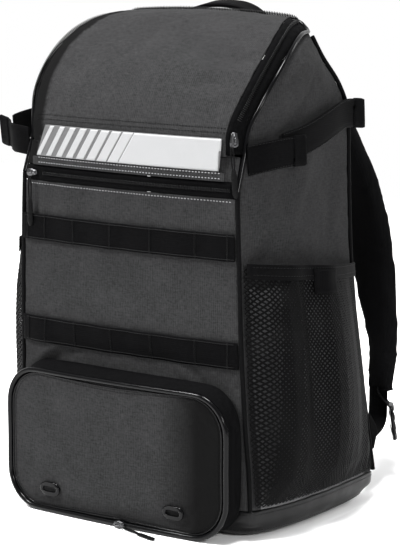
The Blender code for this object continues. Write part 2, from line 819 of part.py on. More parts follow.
def pushed(outline, amount):
    """The ring moved outward by amount, square to its edges."""
    ahead, behind = np.roll(outline, -1, axis=0), np.roll(outline, 1, axis=0)
    tangent = ahead - behind
    tangent /= np.linalg.norm(tangent, axis=1)[:, None]
    return outline + np.stack([tangent[:, 1], -tangent[:, 0]], axis=1) * amount


def make_boot():
    outline = pushed(boot_outline(), boot_lap)
    rings = []
    steps = 4
    for i in range(steps + 1):
        turn = math.pi / 2 * i / steps
        room = boot_round * (1 - math.sin(turn))
        shrunk = outline * [1 - room / front_half_width, 1 - room / front_depth]
        height = boot_round * (1 - math.cos(turn))
        rings.append([(x, y, height) for x, y in shrunk])
    rings.append([(x, y, boot_height) for x, y in outline])
    mesh = bpy.data.meshes.new("base_boot")
    count = len(outline)
    points = [filled_left(point) for ring in rings for point in ring]
    faces = [tuple(reversed(range(count)))]
    for i in range(len(rings) - 1):
        for j in range(count):
            k = (j + 1) % count
            faces.append((i * count + j, i * count + k, (i + 1) * count + k, (i + 1) * count + j))
    mesh.from_pydata(points, [], faces)
    mesh.update()
    mesh.shade_smooth()
    thing = bpy.data.objects.new("base_boot", mesh)
    parts.objects.link(thing)
    solidify(thing, coated_cloth, -1.0)
    finish(thing, "base_boot", "coated_cloth")


# Front pocket zip, band and webbing rows


def make_front_trim():
    shares = np.linspace(-1, 1, 13)
    rows = []
    for height in np.linspace(pocket_zip_bottom + gap, pocket_zip_bottom + pocket_zip_height - gap, 3):
        reach = front_seam_x(height) - inset
        rows.append([front_point(share * reach, height) for share in shares])
    sheet("pocket_zip_tape", rows, zip_tape, "black_cloth", facing=(0, -1, 0))
    middle = pocket_zip_bottom + pocket_zip_height / 2
    reach = front_seam_x(middle) - 3 * inset
    line = [front_point(share * reach, middle, coil_radius + gap) for share in shares[1:]]
    tube("pocket_zip_coil", line, coil_radius, "black_cloth", sides=0)
    slider_x = -reach + slider_length / 2
    seat = front_point(slider_x, middle, slider_height / 2 + slider_seat)
    level, outward, upward = (1.0, 0.0, 0.0), (0.0, -1.0, 0.0), (0.0, 0.0, 1.0)
    block("pocket_slider", seat, (slider_length, slider_width, slider_height), (level, upward, outward),
          "dark_metal", slider_bevel)
    top = middle - slider_width / 2 - gap
    over_webbing = pull_thickness / 2 + webbing + webbing_slack + band_lift + gap
    lowest = front_point(slider_x, top - pull_length, over_webbing)
    highest = front_point(slider_x, top, pull_thickness / 2 + gap)
    highest[1] = lowest[1]
    block("pocket_pull", (lowest + highest) / 2, (pull_width, pull_length, pull_thickness),
          (level, upward, outward), "black_webbing", pull_bevel)
    low = pocket_zip_bottom + pocket_zip_height + 2 * gap
    rows = []
    for height in (low, low + guard_strip_height - 2 * gap):
        rows.append([front_point(share * flap_half_width, height, band_lift) for share in shares])
    sheet("zip_guard_strip", rows, band_cloth, "charcoal_cloth", facing=(0, -1, 0), side=1.0)
    rows = []
    for share_up in (0.0, 0.5, 1.0):
        height = band_bottom + band_height * share_up
        left = -band_half_width + band_slant_left * share_up
        right = band_half_width + band_slant_right * share_up
        rows.append([front_point(left + (right - left) * (share + 1) / 2, height, band_lift)
                     for share in shares])
    sheet("band", rows, band_cloth, "reflective_band", facing=(0, -1, 0), side=1.0)
    for name, centre in (("webbing_upper", webbing_upper_centre), ("webbing_lower", webbing_lower_centre)):
        rows = []
        reach = front_seam_x(centre)
        count = 2 * round(2 * reach / tack_pitch)
        for height in (centre - webbing_height / 2, centre, centre + webbing_height / 2):
            row = []
            for j in range(count * 2 + 1):
                x = (j / count - 1) * (front_seam_x(height) - inset)
                slack = webbing_slack * abs(math.sin(math.pi * x / tack_pitch))
                row.append(front_point(x, height, band_lift + slack))
            rows.append(row)
        sheet(name, rows, webbing, "black_webbing", facing=(0, -1, 0), side=1.0)


# Box pocket


def box_outline(half, low, high, radius, steps=5):
    """A rounded rectangle seen from the front, anticlockwise from the right side's foot."""
    ring = []
    corners = ((half - radius, low + radius, -90), (half - radius, high - radius, 0),
               (-half + radius, high - radius, 90), (-half + radius, low + radius, 180))
    for x, z, start in corners:
        for i in range(steps + 1):
            turn = math.radians(start + 90 * i / steps)
            ring.append((x + radius * math.cos(turn), z + radius * math.sin(turn)))
    return ring


def densified(ring, length):
    """The ring with its long straight sides cut into shorter steps."""
    made = []
    for i, point in enumerate(ring):
        following = ring[(i + 1) % len(ring)]
        reach = math.dist(point, following)
        cuts = max(1, round(reach / length))
        made += [tuple(lerp(point, following, j / cuts)) for j in range(cuts)]
    return made


def box_face_y(x, z):
    across = min(abs(x) / box_half_width, 1.0)
    upward = abs(2 * (z - box_bottom) / (box_top - box_bottom) - 1)
    swell = box_bulge * (1 - across**2) * (1 - 0.35 * min(upward, 1.0) ** 2)
    return -front_depth - box_depth - swell


def make_box_pocket():
    path = densified(box_outline(box_half_width, box_bottom, box_top, box_corner), 0.034)
    piping = [np.array([x, box_face_y(x, z), z]) for x, z in path]
    tube("box_pocket_piping", piping, box_piping_radius, "glossy_piping", cyclic=True)
    room = box_piping_radius + gap
    rows = []
    turns = [math.radians(turn) for turn in (0, 25, 50, 70, 90)]
    ends = [(box_corner * (1 - math.cos(turn)), box_corner * math.sin(turn)) for turn in turns]
    straight = np.linspace(box_bottom + box_corner, box_top - box_corner, 5)[1:-1]
    low = [(box_bottom + up, box_half_width - box_corner + out) for up, out in ends]
    high = [(box_top - up, box_half_width - box_corner + out) for up, out in reversed(ends)]
    spans = low + [(height, box_half_width) for height in straight] + high
    middle = (box_bottom + box_top) / 2
    squeeze = 1 - 2 * room / (box_top - box_bottom)
    for height, half in spans:
        row = []
        for share in np.linspace(-1, 1, 11):
            x, z = share * (half - room), middle + (height - middle) * squeeze
            row.append(np.array([x, box_face_y(x, z), z]))
        rows.append(row)
    sheet("box_pocket_face", rows, cloth, "charcoal_cloth", facing=(0, -1, 0))
    front_ring, back_ring = [], []
    for x, z in path:
        front_ring.append(np.array([x, box_face_y(x, z) + room, z]))
    for (x, z), start in zip(path, front_ring):
        upward = max(0.0, (z - middle) / (box_top - middle))
        wide_x, high_z = x * (1 + 0.3 * box_flare / box_half_width), z + box_flare * upward**2
        foot = front_point(min(wide_x, box_half_width), max(high_z, boot_height))[1]
        back_ring.append(np.array([wide_x, foot - boot_lap - box_clearance, max(high_z, z)]))
    between = [lerp(a, b, 0.5) + np.array([0.0008 * np.sign(a[0]), 0, 0]) for a, b in zip(front_ring, back_ring)]
    centre = np.array([0.0, 0.0, middle])
    sheet("box_pocket_gusset", [front_ring, between, back_ring], cloth, "black_cloth",
          facing=lambda spot: (spot - centre) * [1, 0, 1], ring=True)
    seat_y = box_face_y(box_slider_x, box_bottom) - box_piping_radius - gap - slider_height / 2
    seat = np.array([box_slider_x, seat_y, slider_width / 2 + gap])
    block("box_slider", seat, (slider_length, slider_width, slider_height), ((1, 0, 0), (0, 0, 1), (0, -1, 0)),
          "dark_metal", slider_bevel)
    lie = unit((0.96, -0.28, 0.0))
    root = seat + np.array([slider_length / 2 + gap, 0.0, 0.0])
    place = np.array([root[0], root[1], pull_thickness / 2 + gap]) + lie * (pull_length / 2 + pull_width / 4)
    block("box_pull", place, (pull_length, pull_width, pull_thickness), (lie, np.cross((0, 0, 1), lie), (0, 0, 1)),
          "black_webbing", pull_bevel)
    for side, x in (("left", -eyelet_spread), ("right", eyelet_spread)):
        out = box_face_y(x, eyelet_centre_height) - gap - eyelet_thickness / 2
        plate("slot_eyelet_" + side, stadium(eyelet_length, eyelet_height),
              [stadium(eyelet_slot_length, eyelet_slot_height)], eyelet_thickness, "gloss_plastic",
              (x, out - eyelet_stand, eyelet_centre_height), (1, 0, 0), (0, 0, 1))


# Mesh pockets


def mesh_share(along, up):
    """Share of the way up the side where the mesh lies, with its mouth lower at the rear."""
    front_top = side_straight * (mesh_front_height - boot_height) / (seam_top - boot_height)
    rear_top = side_straight * (mesh_rear_height - boot_height) / (rear_bend_height - boot_height)
    foot = side_straight * mesh_foot / (seam_top - boot_height)
    return foot + up * (front_top + (rear_top - front_top) * along - foot)


def mesh_lift(along, up):
    skewed = along**0.8
    swell = (4 * skewed * (1 - skewed)) ** 0.6 if 0 < along < 1 else 0.0
    folds = sum(row["depth"] * math.exp(-(((along - row["along"]) / row["breadth"]) ** 2))
                for row in MESH_FOLDS)
    rise = math.sin(math.pi * min(up, 1.0) ** 0.75 * 0.80) ** 0.8 if up > 0 else 0.0
    return 2 * gap + mesh_bulge * swell * rise * (1 + folds * swell)


def mesh_point(along, up, over=0.0):
    """A point of the mesh, with a layer over it kept clear on the slopes too."""
    step = 0.03
    spots = [side_point(place, mesh_share(place, up), mesh_lift(place, up))
             for place in (max(along - step, 0.0), min(along + step, 1.0))]
    slope = (spots[1][0] - spots[0][0]) / np.linalg.norm(spots[1][1:] - spots[0][1:])
    lift = mesh_lift(along, up) + over * math.sqrt(1 + slope**2)
    return side_point(along, mesh_share(along, up), lift)


def make_mesh_pocket(side, sign):
    ups, alongs = np.linspace(0, 1, 10), np.linspace(0, 1, 13)
    rows = []
    for up in ups:
        row = [mesh_point(along, up) for along in alongs]
        rows.append(row if sign > 0 else mirrored(row))
    sheet("mesh_pocket_" + side, rows, mesh_cloth, "black_mesh", facing=(sign, 0, 0), side=1.0)
    rows = []
    lap = binding_height / (mesh_front_height - boot_height)
    for up in (1 - lap, 1 - lap / 2, 1.0, 1.0 + lap * 0.1):
        row = [mesh_point(along, up, mesh_cloth + 5 * gap) for along in alongs]
        rows.append(row if sign > 0 else mirrored(row))
    sheet("mesh_binding_" + side, rows, binding, "black_webbing", facing=(sign, 0, 0), side=1.0)


# Straps


def make_bat_strap(side, sign, front_table, rear_table):
    for name, table in (("bat_strap_front_", front_table), ("bat_strap_rear_", rear_table)):
        centres = path_of(table, rear_half_width, rear_depth, ridge_height, 13, sign)
        ribbon(name + side, centres, [(0.0, -0.06, 1.0)] * 13, [bat_strap_height] * 13, bat_strap,
               "black_webbing", columns=2)


def make_shoulder_strap(side, sign):
    count = 18
    centres = path_of(SHOULDER_STRAP, rear_half_width, rear_depth, ridge_height, count, sign)
    places = np.linspace(0, 1, len(SHOULDER_STRAP))
    widths = [smooth(places, column(SHOULDER_STRAP, "width"), share) * shoulder_strap_width
              for share in np.linspace(0, 1, count)]
    ways = [unit((1.0, -0.12 * sign, 0.0))] * count
    ribbon("shoulder_strap_" + side, centres, ways, widths, shoulder_strap, "black_cloth", columns=3)
    count = 10
    lower = path_of(LOWER_WEBBING, rear_half_width, rear_depth, ridge_height, count, sign)
    tangents = [unit(lower[min(i + 1, count - 1)] - lower[max(i - 1, 0)]) for i in range(count)]
    ways = []
    for i, tangent in enumerate(tangents):
        way = lerp((1.0, -0.12 * sign, 0.0), (0.0, 0.0, 1.0), (i / (count - 1)) ** 1.4)
        ways.append(unit(way - tangent * np.dot(way, tangent)))
    ribbon("lower_webbing_" + side, lower, ways, [strap_webbing_width] * count, strap_webbing,
           "black_webbing", columns=2)
    make_buckle(side, sign, lower[2])
    make_anchor(side, sign)


def make_buckle(side, sign, centre):
    """The ladder lock: a plate with two slots that hangs edge-on at the webbing's outer edge."""
    half, tall = buckle_width / 2, buckle_length / 2
    rounding = buckle_width / 6
    outline = []
    for x, y, start in ((half, -tall, -90), (half, tall, 0), (-half, tall, 90), (-half, -tall, 180)):
        middle = (x - math.copysign(rounding, x), y - math.copysign(rounding, y))
        for i in range(4):
            turn = math.radians(start + 30 * i)
            outline.append((middle[0] + rounding * math.cos(turn), middle[1] + rounding * math.sin(turn)))
    slot = stadium(strap_webbing_width + 2 * gap, buckle_length / 6, steps=3)
    holes = [[(x, y + shift) for x, y in slot] for shift in (-buckle_length / 4, buckle_length / 4)]
    edge_on, lean = unit((0.6 * sign, -0.8, 0.0)), unit((0.08 * sign, 0.10, -1.0))
    outward = unit((0.8 * sign, 0.6, 0.0))
    edge = np.array(centre) + np.array([sign * strap_webbing_width / 2, 0.0, 0.0])
    place = edge + outward * (buckle_thickness / 2 + buckle_room)
    plate("ladder_lock_" + side, outline, holes, buckle_thickness, "gloss_plastic", place, edge_on, lean)


def make_anchor(side, sign):
    """A small cloth wing along the foot of the rear seam."""
    low, high = [side_straight * (anchor_height + step - foot_height) / (seam_top - foot_height)
                 for step in (-anchor_length / 2, anchor_length / 2)]
    foot, head = rear_edge(low) * [sign, 1, 1], rear_edge(high) * [sign, 1, 1]
    up = unit(head - foot)
    back = unit(np.array([0.0, 1.0, 0.0]) - up * up[1])
    half = anchor_length / 2
    outline = [(0.0, -half), (anchor_reach, -0.1 * half), (anchor_reach, 0.1 * half), (0.0, half)]
    place = (foot + head) / 2 + back * (piping_radius + anchor_room)
    plate("strap_anchor_" + side, outline, [], anchor_thickness, "black_cloth", place, back, up)


def make_handle():
    """A webbing loop: its feet lie on the yoke and its arch rises behind the ridge."""
    rows = []
    for row in HANDLE:
        out, back, height = (row["out"] * ridge_half_width, row["back"] * rear_depth,
                             row["height"] * ridge_height)
        if row["turn"] == 0.0:
            back = yoke_back(out, height) + handle_thickness / 2 + handle_seat
        rows.append([out, back, height, row["turn"]])
    rows = np.array(rows)
    steps = np.concatenate([[0], np.cumsum(np.linalg.norm(np.diff(rows[:, :3], axis=0), axis=1))])
    half = [np.array([smooth(steps, rows[:, axis], place) for axis in range(4)])
            for place in np.linspace(0, steps[-1], 10)]
    path = half + [point * [-1, 1, 1, 1] for point in reversed(half[:-1])]
    foot = rows[0]
    slope = unit((0.0, yoke_back(foot[0], foot[2] - 0.01) - yoke_back(foot[0], foot[2] + 0.01), -0.02))
    ways = [unit(lerp(slope, (0.0, 1.0, 0.15), min(max(point[3], 0.0), 1.0))) for point in path]
    ribbon("haul_handle", [point[:3] for point in path], ways, [handle_width] * len(path),
           handle_thickness, "black_webbing", columns=3)


def yoke_back(x, height):
    """Depth of the yoke's face at a place given by its distance out and its height."""
    low, high = 0.0, 1.0
    across = x / (rear_half_width * REAR_SEAM[-2]["width"])
    for _ in range(24):
        middle = (low + high) / 2
        if yoke_point(across, middle)[2] < height:
            low = middle
        else:
            high = middle
    return yoke_point(across, low)[1]


make_front_panel()
make_flap()
make_flap_zip()
make_side("right", 1)
make_side("left", -1)
make_back()
make_boot()
make_front_trim()
make_box_pocket()
make_mesh_pocket("right", 1)
make_mesh_pocket("left", -1)
make_bat_strap("right", 1, BAT_STRAP_FRONT_RIGHT, BAT_STRAP_REAR_RIGHT)
make_bat_strap("left", -1, BAT_STRAP_FRONT_LEFT, BAT_STRAP_REAR_LEFT)
make_shoulder_strap("right", 1)
make_shoulder_strap("left", -1)
make_handle()
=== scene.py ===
import math

import bmesh
import bpy
import numpy as np
from mathutils import Matrix, Vector, noise
from mathutils.bvhtree import BVHTree


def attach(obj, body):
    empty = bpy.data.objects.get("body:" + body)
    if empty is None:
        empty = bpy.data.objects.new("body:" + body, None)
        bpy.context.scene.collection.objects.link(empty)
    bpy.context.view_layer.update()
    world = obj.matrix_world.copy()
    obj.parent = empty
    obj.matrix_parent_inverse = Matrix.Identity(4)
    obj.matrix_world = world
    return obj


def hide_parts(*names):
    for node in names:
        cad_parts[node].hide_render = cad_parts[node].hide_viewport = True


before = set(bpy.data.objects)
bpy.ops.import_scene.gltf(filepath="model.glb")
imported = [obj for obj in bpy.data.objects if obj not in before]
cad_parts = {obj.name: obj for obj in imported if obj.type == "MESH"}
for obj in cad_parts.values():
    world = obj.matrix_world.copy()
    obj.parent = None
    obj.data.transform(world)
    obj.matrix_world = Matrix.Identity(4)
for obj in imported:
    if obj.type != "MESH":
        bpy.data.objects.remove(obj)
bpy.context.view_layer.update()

print("frame loaded:", len(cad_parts), "nodes")

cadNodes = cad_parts
scene = bpy.context.scene
scene.view_settings.view_transform = "Standard"


def addNode(tree, kind, inputs=None, **settings):
    node = tree.nodes.new(kind)
    for key, value in settings.items():
        setattr(node, key, value)
    for key, value in (inputs or {}).items():
        if isinstance(value, bpy.types.NodeSocket):
            tree.links.new(value, node.inputs[key])
        else:
            node.inputs[key].default_value = value
    return node


def maths(tree, operation, first, second=0.0):
    return addNode(tree, "ShaderNodeMath", {0: first, 1: second}, operation=operation).outputs[0]


def ranged(tree, value, low, high, toLow=0.0, toHigh=1.0):
    return addNode(tree, "ShaderNodeMapRange", {"Value": value, "From Min": low, "From Max": high,
                                                "To Min": toLow, "To Max": toHigh}).outputs[0]


def blended(tree, share, first, second):
    # 6 and 7 are the mix node's two colours
    return addNode(tree, "ShaderNodeMix", {"Factor": share, 6: first, 7: second}, data_type="RGBA").outputs[2]


def noiseOf(tree, place, scale, detail, roughness=0.5):
    return addNode(tree, "ShaderNodeTexNoise", {"Vector": place, "Scale": scale, "Detail": detail,
                                                "Roughness": roughness}).outputs["Fac"]


def addObject(name, data):
    thing = bpy.data.objects.new(name, data)
    scene.collection.objects.link(thing)
    return thing


def evaluated(thing):
    # the mesh of a thing with its modifiers or curve settings worked out
    graph = bpy.context.evaluated_depsgraph_get()
    return bpy.data.meshes.new_from_object(thing.evaluated_get(graph))


# Camera, floor and light

photoView = dict(azimuth=37.04, elevation=9.5, distance=2.504, lens=158.8, aim=(0.0, 0.0, 0.250),
                 right=0.0112, down=0.0168)


def makeCamera(settings):
    azimuth, elevation = math.radians(settings["azimuth"]), math.radians(settings["elevation"])
    back = Vector((math.sin(azimuth) * math.cos(elevation), -math.cos(azimuth) * math.cos(elevation),
                   math.sin(elevation)))
    right = Vector((math.cos(azimuth), math.sin(azimuth), 0.0))
    up = back.cross(right)
    aim = Vector(settings["aim"]) + right * settings["right"] - up * settings["down"]
    lens = bpy.data.cameras.new("photoCamera")
    lens.lens = settings["lens"]
    lens.sensor_width = 36.0
    lens.clip_start = 0.05
    camera = addObject("photoCamera", lens)
    camera.matrix_world = Matrix.Translation(aim + back * settings["distance"]) @ Matrix(
        (right, up, back)).transposed().to_4x4()
    scene.camera = camera


studio = dict(floorSize=4.2, floorColour=(0.94, 0.94, 0.94), floorRoughness=0.9, backdrop=(1.0, 1.0, 1.0),
              room=(0.50, 0.50, 0.50), backdropWay=(-0.59, 0.79, -0.05), backdropSpan=(-0.3, 0.6))
lamps = [  # soft boxes: place, target, size, power
    dict(name="keyLight", place=(-1.2, -1.6, 2.3), target=(0.0, 0.0, 0.33), size=0.8, power=136),
    dict(name="topLight", place=(0.2, -0.4, 2.4), target=(0.0, 0.0, 0.4), size=0.7, power=95),
    dict(name="sideLight", place=(2.4, -1.2, 1.3), target=(0.1, 0.0, 0.33), size=0.6, power=42),
    dict(name="rimLight", place=(1.2, 2.2, 1.6), target=(0.0, 0.1, 0.3), size=1.0, power=20),
]


def makeStudio(settings, lampRows):
    bpy.ops.mesh.primitive_grid_add(x_subdivisions=2, y_subdivisions=2, size=settings["floorSize"])
    floor = bpy.context.object
    floor.name = "studioFloor"
    paint = bpy.data.materials.new("floorPaint")
    paint.use_nodes = True
    shader = paint.node_tree.nodes["Principled BSDF"]
    shader.inputs["Base Color"].default_value = (*settings["floorColour"], 1.0)
    shader.inputs["Roughness"].default_value = settings["floorRoughness"]
    floor.data.materials.append(paint)
    world = bpy.data.worlds.new("studioWorld")
    world.use_nodes = True
    tree = world.node_tree
    look = addNode(tree, "ShaderNodeTexCoord").outputs["Generated"]
    facing = addNode(tree, "ShaderNodeVectorMath", {0: look, 1: settings["backdropWay"]},
                     operation="DOT_PRODUCT")
    share = ranged(tree, facing.outputs["Value"], *settings["backdropSpan"])
    tint = blended(tree, share, (*settings["room"], 1.0), (*settings["backdrop"], 1.0))
    tree.links.new(tint, tree.nodes["Background"].inputs["Color"])
    scene.world = world
    for row in lampRows:
        data = bpy.data.lights.new(row["name"], "AREA")
        data.shape = "DISK"
        data.size = row["size"]
        data.energy = row["power"]
        lamp = addObject(row["name"], data)
        place = Vector(row["place"])
        aim = (Vector(row["target"]) - place).to_track_quat("-Z", "Y")
        lamp.matrix_world = Matrix.Translation(place) @ aim.to_matrix().to_4x4()


makeCamera(photoView)
makeStudio(studio, lamps)
print("camera and studio made")


def newGroup(name, inputs, outputs, kind="ShaderNodeTree"):
    # a socket's kind follows from its label, or from a colour as its value
    tree = bpy.data.node_groups.new(name, kind)
    rows = [("INPUT", *row) for row in inputs.items()] + [("OUTPUT", label, None) for label in outputs]
    for way, label, value in rows:
        plain = "Color" if label.endswith("Color") or isinstance(value, tuple) else "Float"
        own = label in ("Vector", "Geometry", "Material")
        socket = tree.interface.new_socket(name=label, in_out=way,
                                           socket_type="NodeSocket" + (label if own else plain))
        if value is not None:
            socket.default_value = value
    return tree, tree.nodes.new("NodeGroupInput"), tree.nodes.new("NodeGroupOutput")


def closeGroup(tree, leave, **outputs):
    for label, socket in outputs.items():
        tree.links.new(socket, leave.inputs[label])
    return tree


# Shader groups: a rib weave, a melange of yarns, and dust with worn lighter places

def makeWeaveGroup():
    tree, entry, leave = newGroup("ribWeave", {"Vector": None, "Rib Pitch": 0.0014, "Cross Pitch": 0.0009,
                                               "Unevenness": 0.35}, ["Height", "Ribs"])
    place = entry.outputs["Vector"]
    parts = addNode(tree, "ShaderNodeSeparateXYZ", {0: place})
    wander = maths(tree, "MULTIPLY", noiseOf(tree, place, 260.0, 2.0), entry.outputs["Unevenness"])
    waves = []
    for axis, pitch in ((0, "Rib Pitch"), (1, "Cross Pitch")):
        turns = maths(tree, "DIVIDE", parts.outputs[axis], entry.outputs[pitch])
        turns = maths(tree, "MULTIPLY", maths(tree, "ADD", turns, wander), math.tau)
        waves.append(maths(tree, "MULTIPLY", maths(tree, "ADD", maths(tree, "SINE", turns), 1.0), 0.5))
    ribs = maths(tree, "POWER", waves[0], 0.7)
    cross = maths(tree, "ADD", maths(tree, "MULTIPLY", waves[1], 0.45), 0.55)
    return closeGroup(tree, leave, Height=maths(tree, "MULTIPLY", ribs, cross), Ribs=ribs)


def makeMelangeGroup():
    tree, entry, leave = newGroup("yarnMelange", {
        "Vector": None, "Dark Yarn": (0.03, 0.03, 0.03, 1), "Light Yarn": (0.09, 0.09, 0.09, 1), "Ribs": 0.5,
        "Streak": 0.5}, ["Color"])
    place = entry.outputs["Vector"]
    flecks = []
    for stretch, scale in (((1.0, 0.22, 1.0), 900.0), ((0.25, 1.0, 1.0), 620.0)):
        space = addNode(tree, "ShaderNodeMapping", {"Vector": place, "Scale": stretch})
        flecks.append(noiseOf(tree, space.outputs[0], scale, 3.0, 0.7))
    fleck = maths(tree, "MULTIPLY", maths(tree, "ADD", *flecks), 0.5)
    cloud = ranged(tree, noiseOf(tree, place, 22.0, 4.0), 0.3, 0.7, -0.10, 0.10)
    ribs = maths(tree, "SUBTRACT", entry.outputs["Ribs"], 0.5)
    ribs = maths(tree, "MULTIPLY", ribs, entry.outputs["Streak"])
    share = maths(tree, "ADD", maths(tree, "ADD", ranged(tree, fleck, 0.36, 0.64), cloud), ribs)
    share = addNode(tree, "ShaderNodeClamp", {"Value": share}).outputs[0]
    colour = blended(tree, share, entry.outputs["Dark Yarn"], entry.outputs["Light Yarn"])
    return closeGroup(tree, leave, Color=colour)


def makeDustGroup():
    tree, entry, leave = newGroup("handling", {
        "Vector": None, "Color": (0.1, 0.1, 0.1, 1), "Worn Color": (0.2, 0.2, 0.2, 1), "Amount": 0.15,
        "Roughness": 0.6}, ["Color", "Roughness"])
    patches = noiseOf(tree, entry.outputs["Vector"], 38.0, 6.0, 0.65)
    worn = maths(tree, "MULTIPLY", ranged(tree, patches, 0.5, 0.78), entry.outputs["Amount"])
    colour = blended(tree, worn, entry.outputs["Color"], entry.outputs["Worn Color"])
    rough = maths(tree, "ADD", entry.outputs["Roughness"], maths(tree, "MULTIPLY", worn, 0.4))
    return closeGroup(tree, leave, Color=colour, Roughness=rough)


ribWeave, yarnMelange, handling = makeWeaveGroup(), makeMelangeGroup(), makeDustGroup()


def newMaterial(name, **fixed):
    made = bpy.data.materials.new(name)
    made.use_nodes = True
    shader = made.node_tree.nodes["Principled BSDF"]
    for label, value in fixed.items():
        shader.inputs[label.replace("_", " ")].default_value = value
    return made, made.node_tree, shader


def placeGroup(tree, group, inputs):
    return addNode(tree, "ShaderNodeGroup", inputs, node_tree=group)


def handled(tree, shader, colour, worn, wornColour, roughness):
    # the colour and roughness with dust and worn places over them
    spot = addNode(tree, "ShaderNodeTexCoord").outputs["Object"]
    touch = placeGroup(tree, handling, {"Vector": spot, "Color": colour, "Worn Color": (*wornColour, 1),
                                        "Amount": worn, "Roughness": roughness})
    tree.links.new(touch.outputs["Roughness"], shader.inputs["Roughness"])
    return touch.outputs["Color"], spot


def bumpInto(tree, shader, height, strength, distance):
    bump = addNode(tree, "ShaderNodeBump", {"Height": height, "Strength": strength, "Distance": distance})
    tree.links.new(bump.outputs[0], shader.inputs["Normal"])


# bump settings, and deepShade: the colour for painted shade on the box face and for the zip tape's black on
# the flap margin
relief = dict(weaveShare=0.4, weaveDistance=0.0003, grainDistance=0.0004, deepShade=(0.002, 0.002, 0.002, 1))


def wovenMaterial(name, dark, light, ribPitch, crossPitch, roughness, sheen, bump, streak=0.35, coords="UV",
                  gloss=0.12, worn=0.12, uneven=0.35):
    made, tree, shader = newMaterial(name, Sheen_Weight=sheen, Sheen_Roughness=0.45, Specular_IOR_Level=gloss)
    place = addNode(tree, "ShaderNodeTexCoord").outputs[coords]
    weave = placeGroup(tree, ribWeave, {"Vector": place, "Rib Pitch": ribPitch, "Cross Pitch": crossPitch,
                                        "Unevenness": uneven})
    yarn = placeGroup(tree, yarnMelange, {"Vector": place, "Dark Yarn": (*dark, 1), "Light Yarn": (*light, 1),
                                          "Ribs": weave.outputs["Ribs"], "Streak": streak})
    touched, spot = handled(tree, shader, yarn.outputs["Color"], worn, [c * 1.9 for c in light], roughness)
    # the shade attribute mixes the colour towards deepShade: painted shade on the box face, the zip tape's
    # black on the flap's left margin
    shade = addNode(tree, "ShaderNodeAttribute", attribute_name="shade").outputs["Fac"]
    tree.links.new(blended(tree, shade, touched, relief["deepShade"]), shader.inputs["Base Color"])
    bumpInto(tree, shader, weave.outputs["Height"], bump * relief["weaveShare"], relief["weaveDistance"])
    return made


def smoothMaterial(name, colour, roughness, grain=1400.0, bump=0.12, worn=0.2, **fixed):
    made, tree, shader = newMaterial(name, Coat_Roughness=0.12, **fixed)
    touched, spot = handled(tree, shader, (*colour, 1), worn, [c * 2.2 + 0.01 for c in colour], roughness)
    tree.links.new(touched, shader.inputs["Base Color"])
    bumpInto(tree, shader, noiseOf(tree, spot, grain, 3.0), bump, relief["grainDistance"])
    return made


wovenLooks = [  # name, dark yarn, light yarn, rib pitch, cross pitch, roughness, sheen, bump, what differs
    ("charcoalCloth", (0.0090, 0.0090, 0.0092), (0.0240, 0.0240, 0.0245), 0.0021, 0.0009, 0.80, 0.004, 0.7,
     dict(gloss=0.03)),
    ("boxCloth", (0.0090, 0.0090, 0.0092), (0.0245, 0.0245, 0.025), 0.0021, 0.0009, 0.72, 0.002, 0.6,
     dict(gloss=0.02)),
    ("blackCloth", (0.0008, 0.0008, 0.0009), (0.0026, 0.0026, 0.0028), 0.0008, 0.0008, 0.85, 0.002, 0.4,
     dict(streak=0.2, gloss=0.02)),
    ("padCloth", (0.0008, 0.0008, 0.0009), (0.0030, 0.0030, 0.0032), 0.0022, 0.0022, 0.88, 0.003, 0.9,
     dict(streak=0.25, coords="Object", gloss=0.02)),
    ("webbingCloth", (0.0005, 0.0005, 0.0006), (0.0020, 0.0020, 0.0022), 0.0021, 0.0011, 0.62, 0.001, 0.9,
     dict(streak=0.25, uneven=0.15, gloss=0.02)),
    ("bindingCloth", (0.0005, 0.0005, 0.0006), (0.0020, 0.0020, 0.0022), 0.0010, 0.0016, 0.7, 0.003, 0.8,
     dict(streak=0.2, uneven=0.15, gloss=0.03)),
    # a lighter copy of the charcoal cloth: painted light, so that the panel seen through the net pockets
    # reads as lit
    ("paintedLightCloth", (0.036, 0.036, 0.037), (0.088, 0.088, 0.090), 0.0021, 0.0009, 0.80, 0.004, 0.4,
     dict(gloss=0.03)),
    ("cordPiping", (0.0008, 0.0008, 0.0009), (0.0026, 0.0026, 0.0028), 0.0012, 0.0012, 0.7, 0.003, 0.6,
     dict(streak=0.2, coords="Object", gloss=0.03)),
]
smoothLooks = [  # name, colour, roughness, what differs
    ("netYarn", (0.0012, 0.0012, 0.0013), 0.6, dict(grain=2600.0, bump=0.4, Specular_IOR_Level=0.03)),
    ("coatedCloth", (0.0026, 0.0026, 0.0028), 0.40, dict(grain=700.0, bump=0.25, worn=0.3,
                                                         Specular_IOR_Level=0.14)),
    ("silverPrint", (0.225, 0.227, 0.23), 0.5, dict(grain=5200.0, bump=0.2, worn=0.02)),
    ("silverGround", (0.055, 0.055, 0.056), 0.5, dict(grain=5200.0, bump=0.3, worn=0.25)),
    ("glossPiping", (0.0012, 0.0012, 0.0014), 0.16, dict(grain=900.0, bump=0.05, worn=0.1, Coat_Weight=0.05,
                                                         Specular_IOR_Level=0.08)),
    ("glossPlastic", (0.0014, 0.0014, 0.0016), 0.16, dict(grain=500.0, bump=0.04, worn=0.1, Coat_Weight=0.05,
                                                          Specular_IOR_Level=0.10)),
    ("zipMetal", (0.055, 0.055, 0.057), 0.26, dict(grain=1600.0, bump=0.1, worn=0.3, Metallic=1.0)),
    ("zipCoil", (0.0025, 0.0025, 0.0027), 0.34, dict(grain=1200.0, bump=0.08, Specular_IOR_Level=0.12)),
    ("paleThread", (0.13, 0.13, 0.134), 0.6, dict(grain=3000.0, bump=0.5)),
    ("blackThread", (0.0015, 0.0015, 0.0016), 0.5, dict(grain=3000.0, bump=0.5, Specular_IOR_Level=0.05)),
    ("greyThread", (0.0032, 0.0032, 0.0034), 0.5, dict(grain=3000.0, bump=0.5, Specular_IOR_Level=0.08)),
]
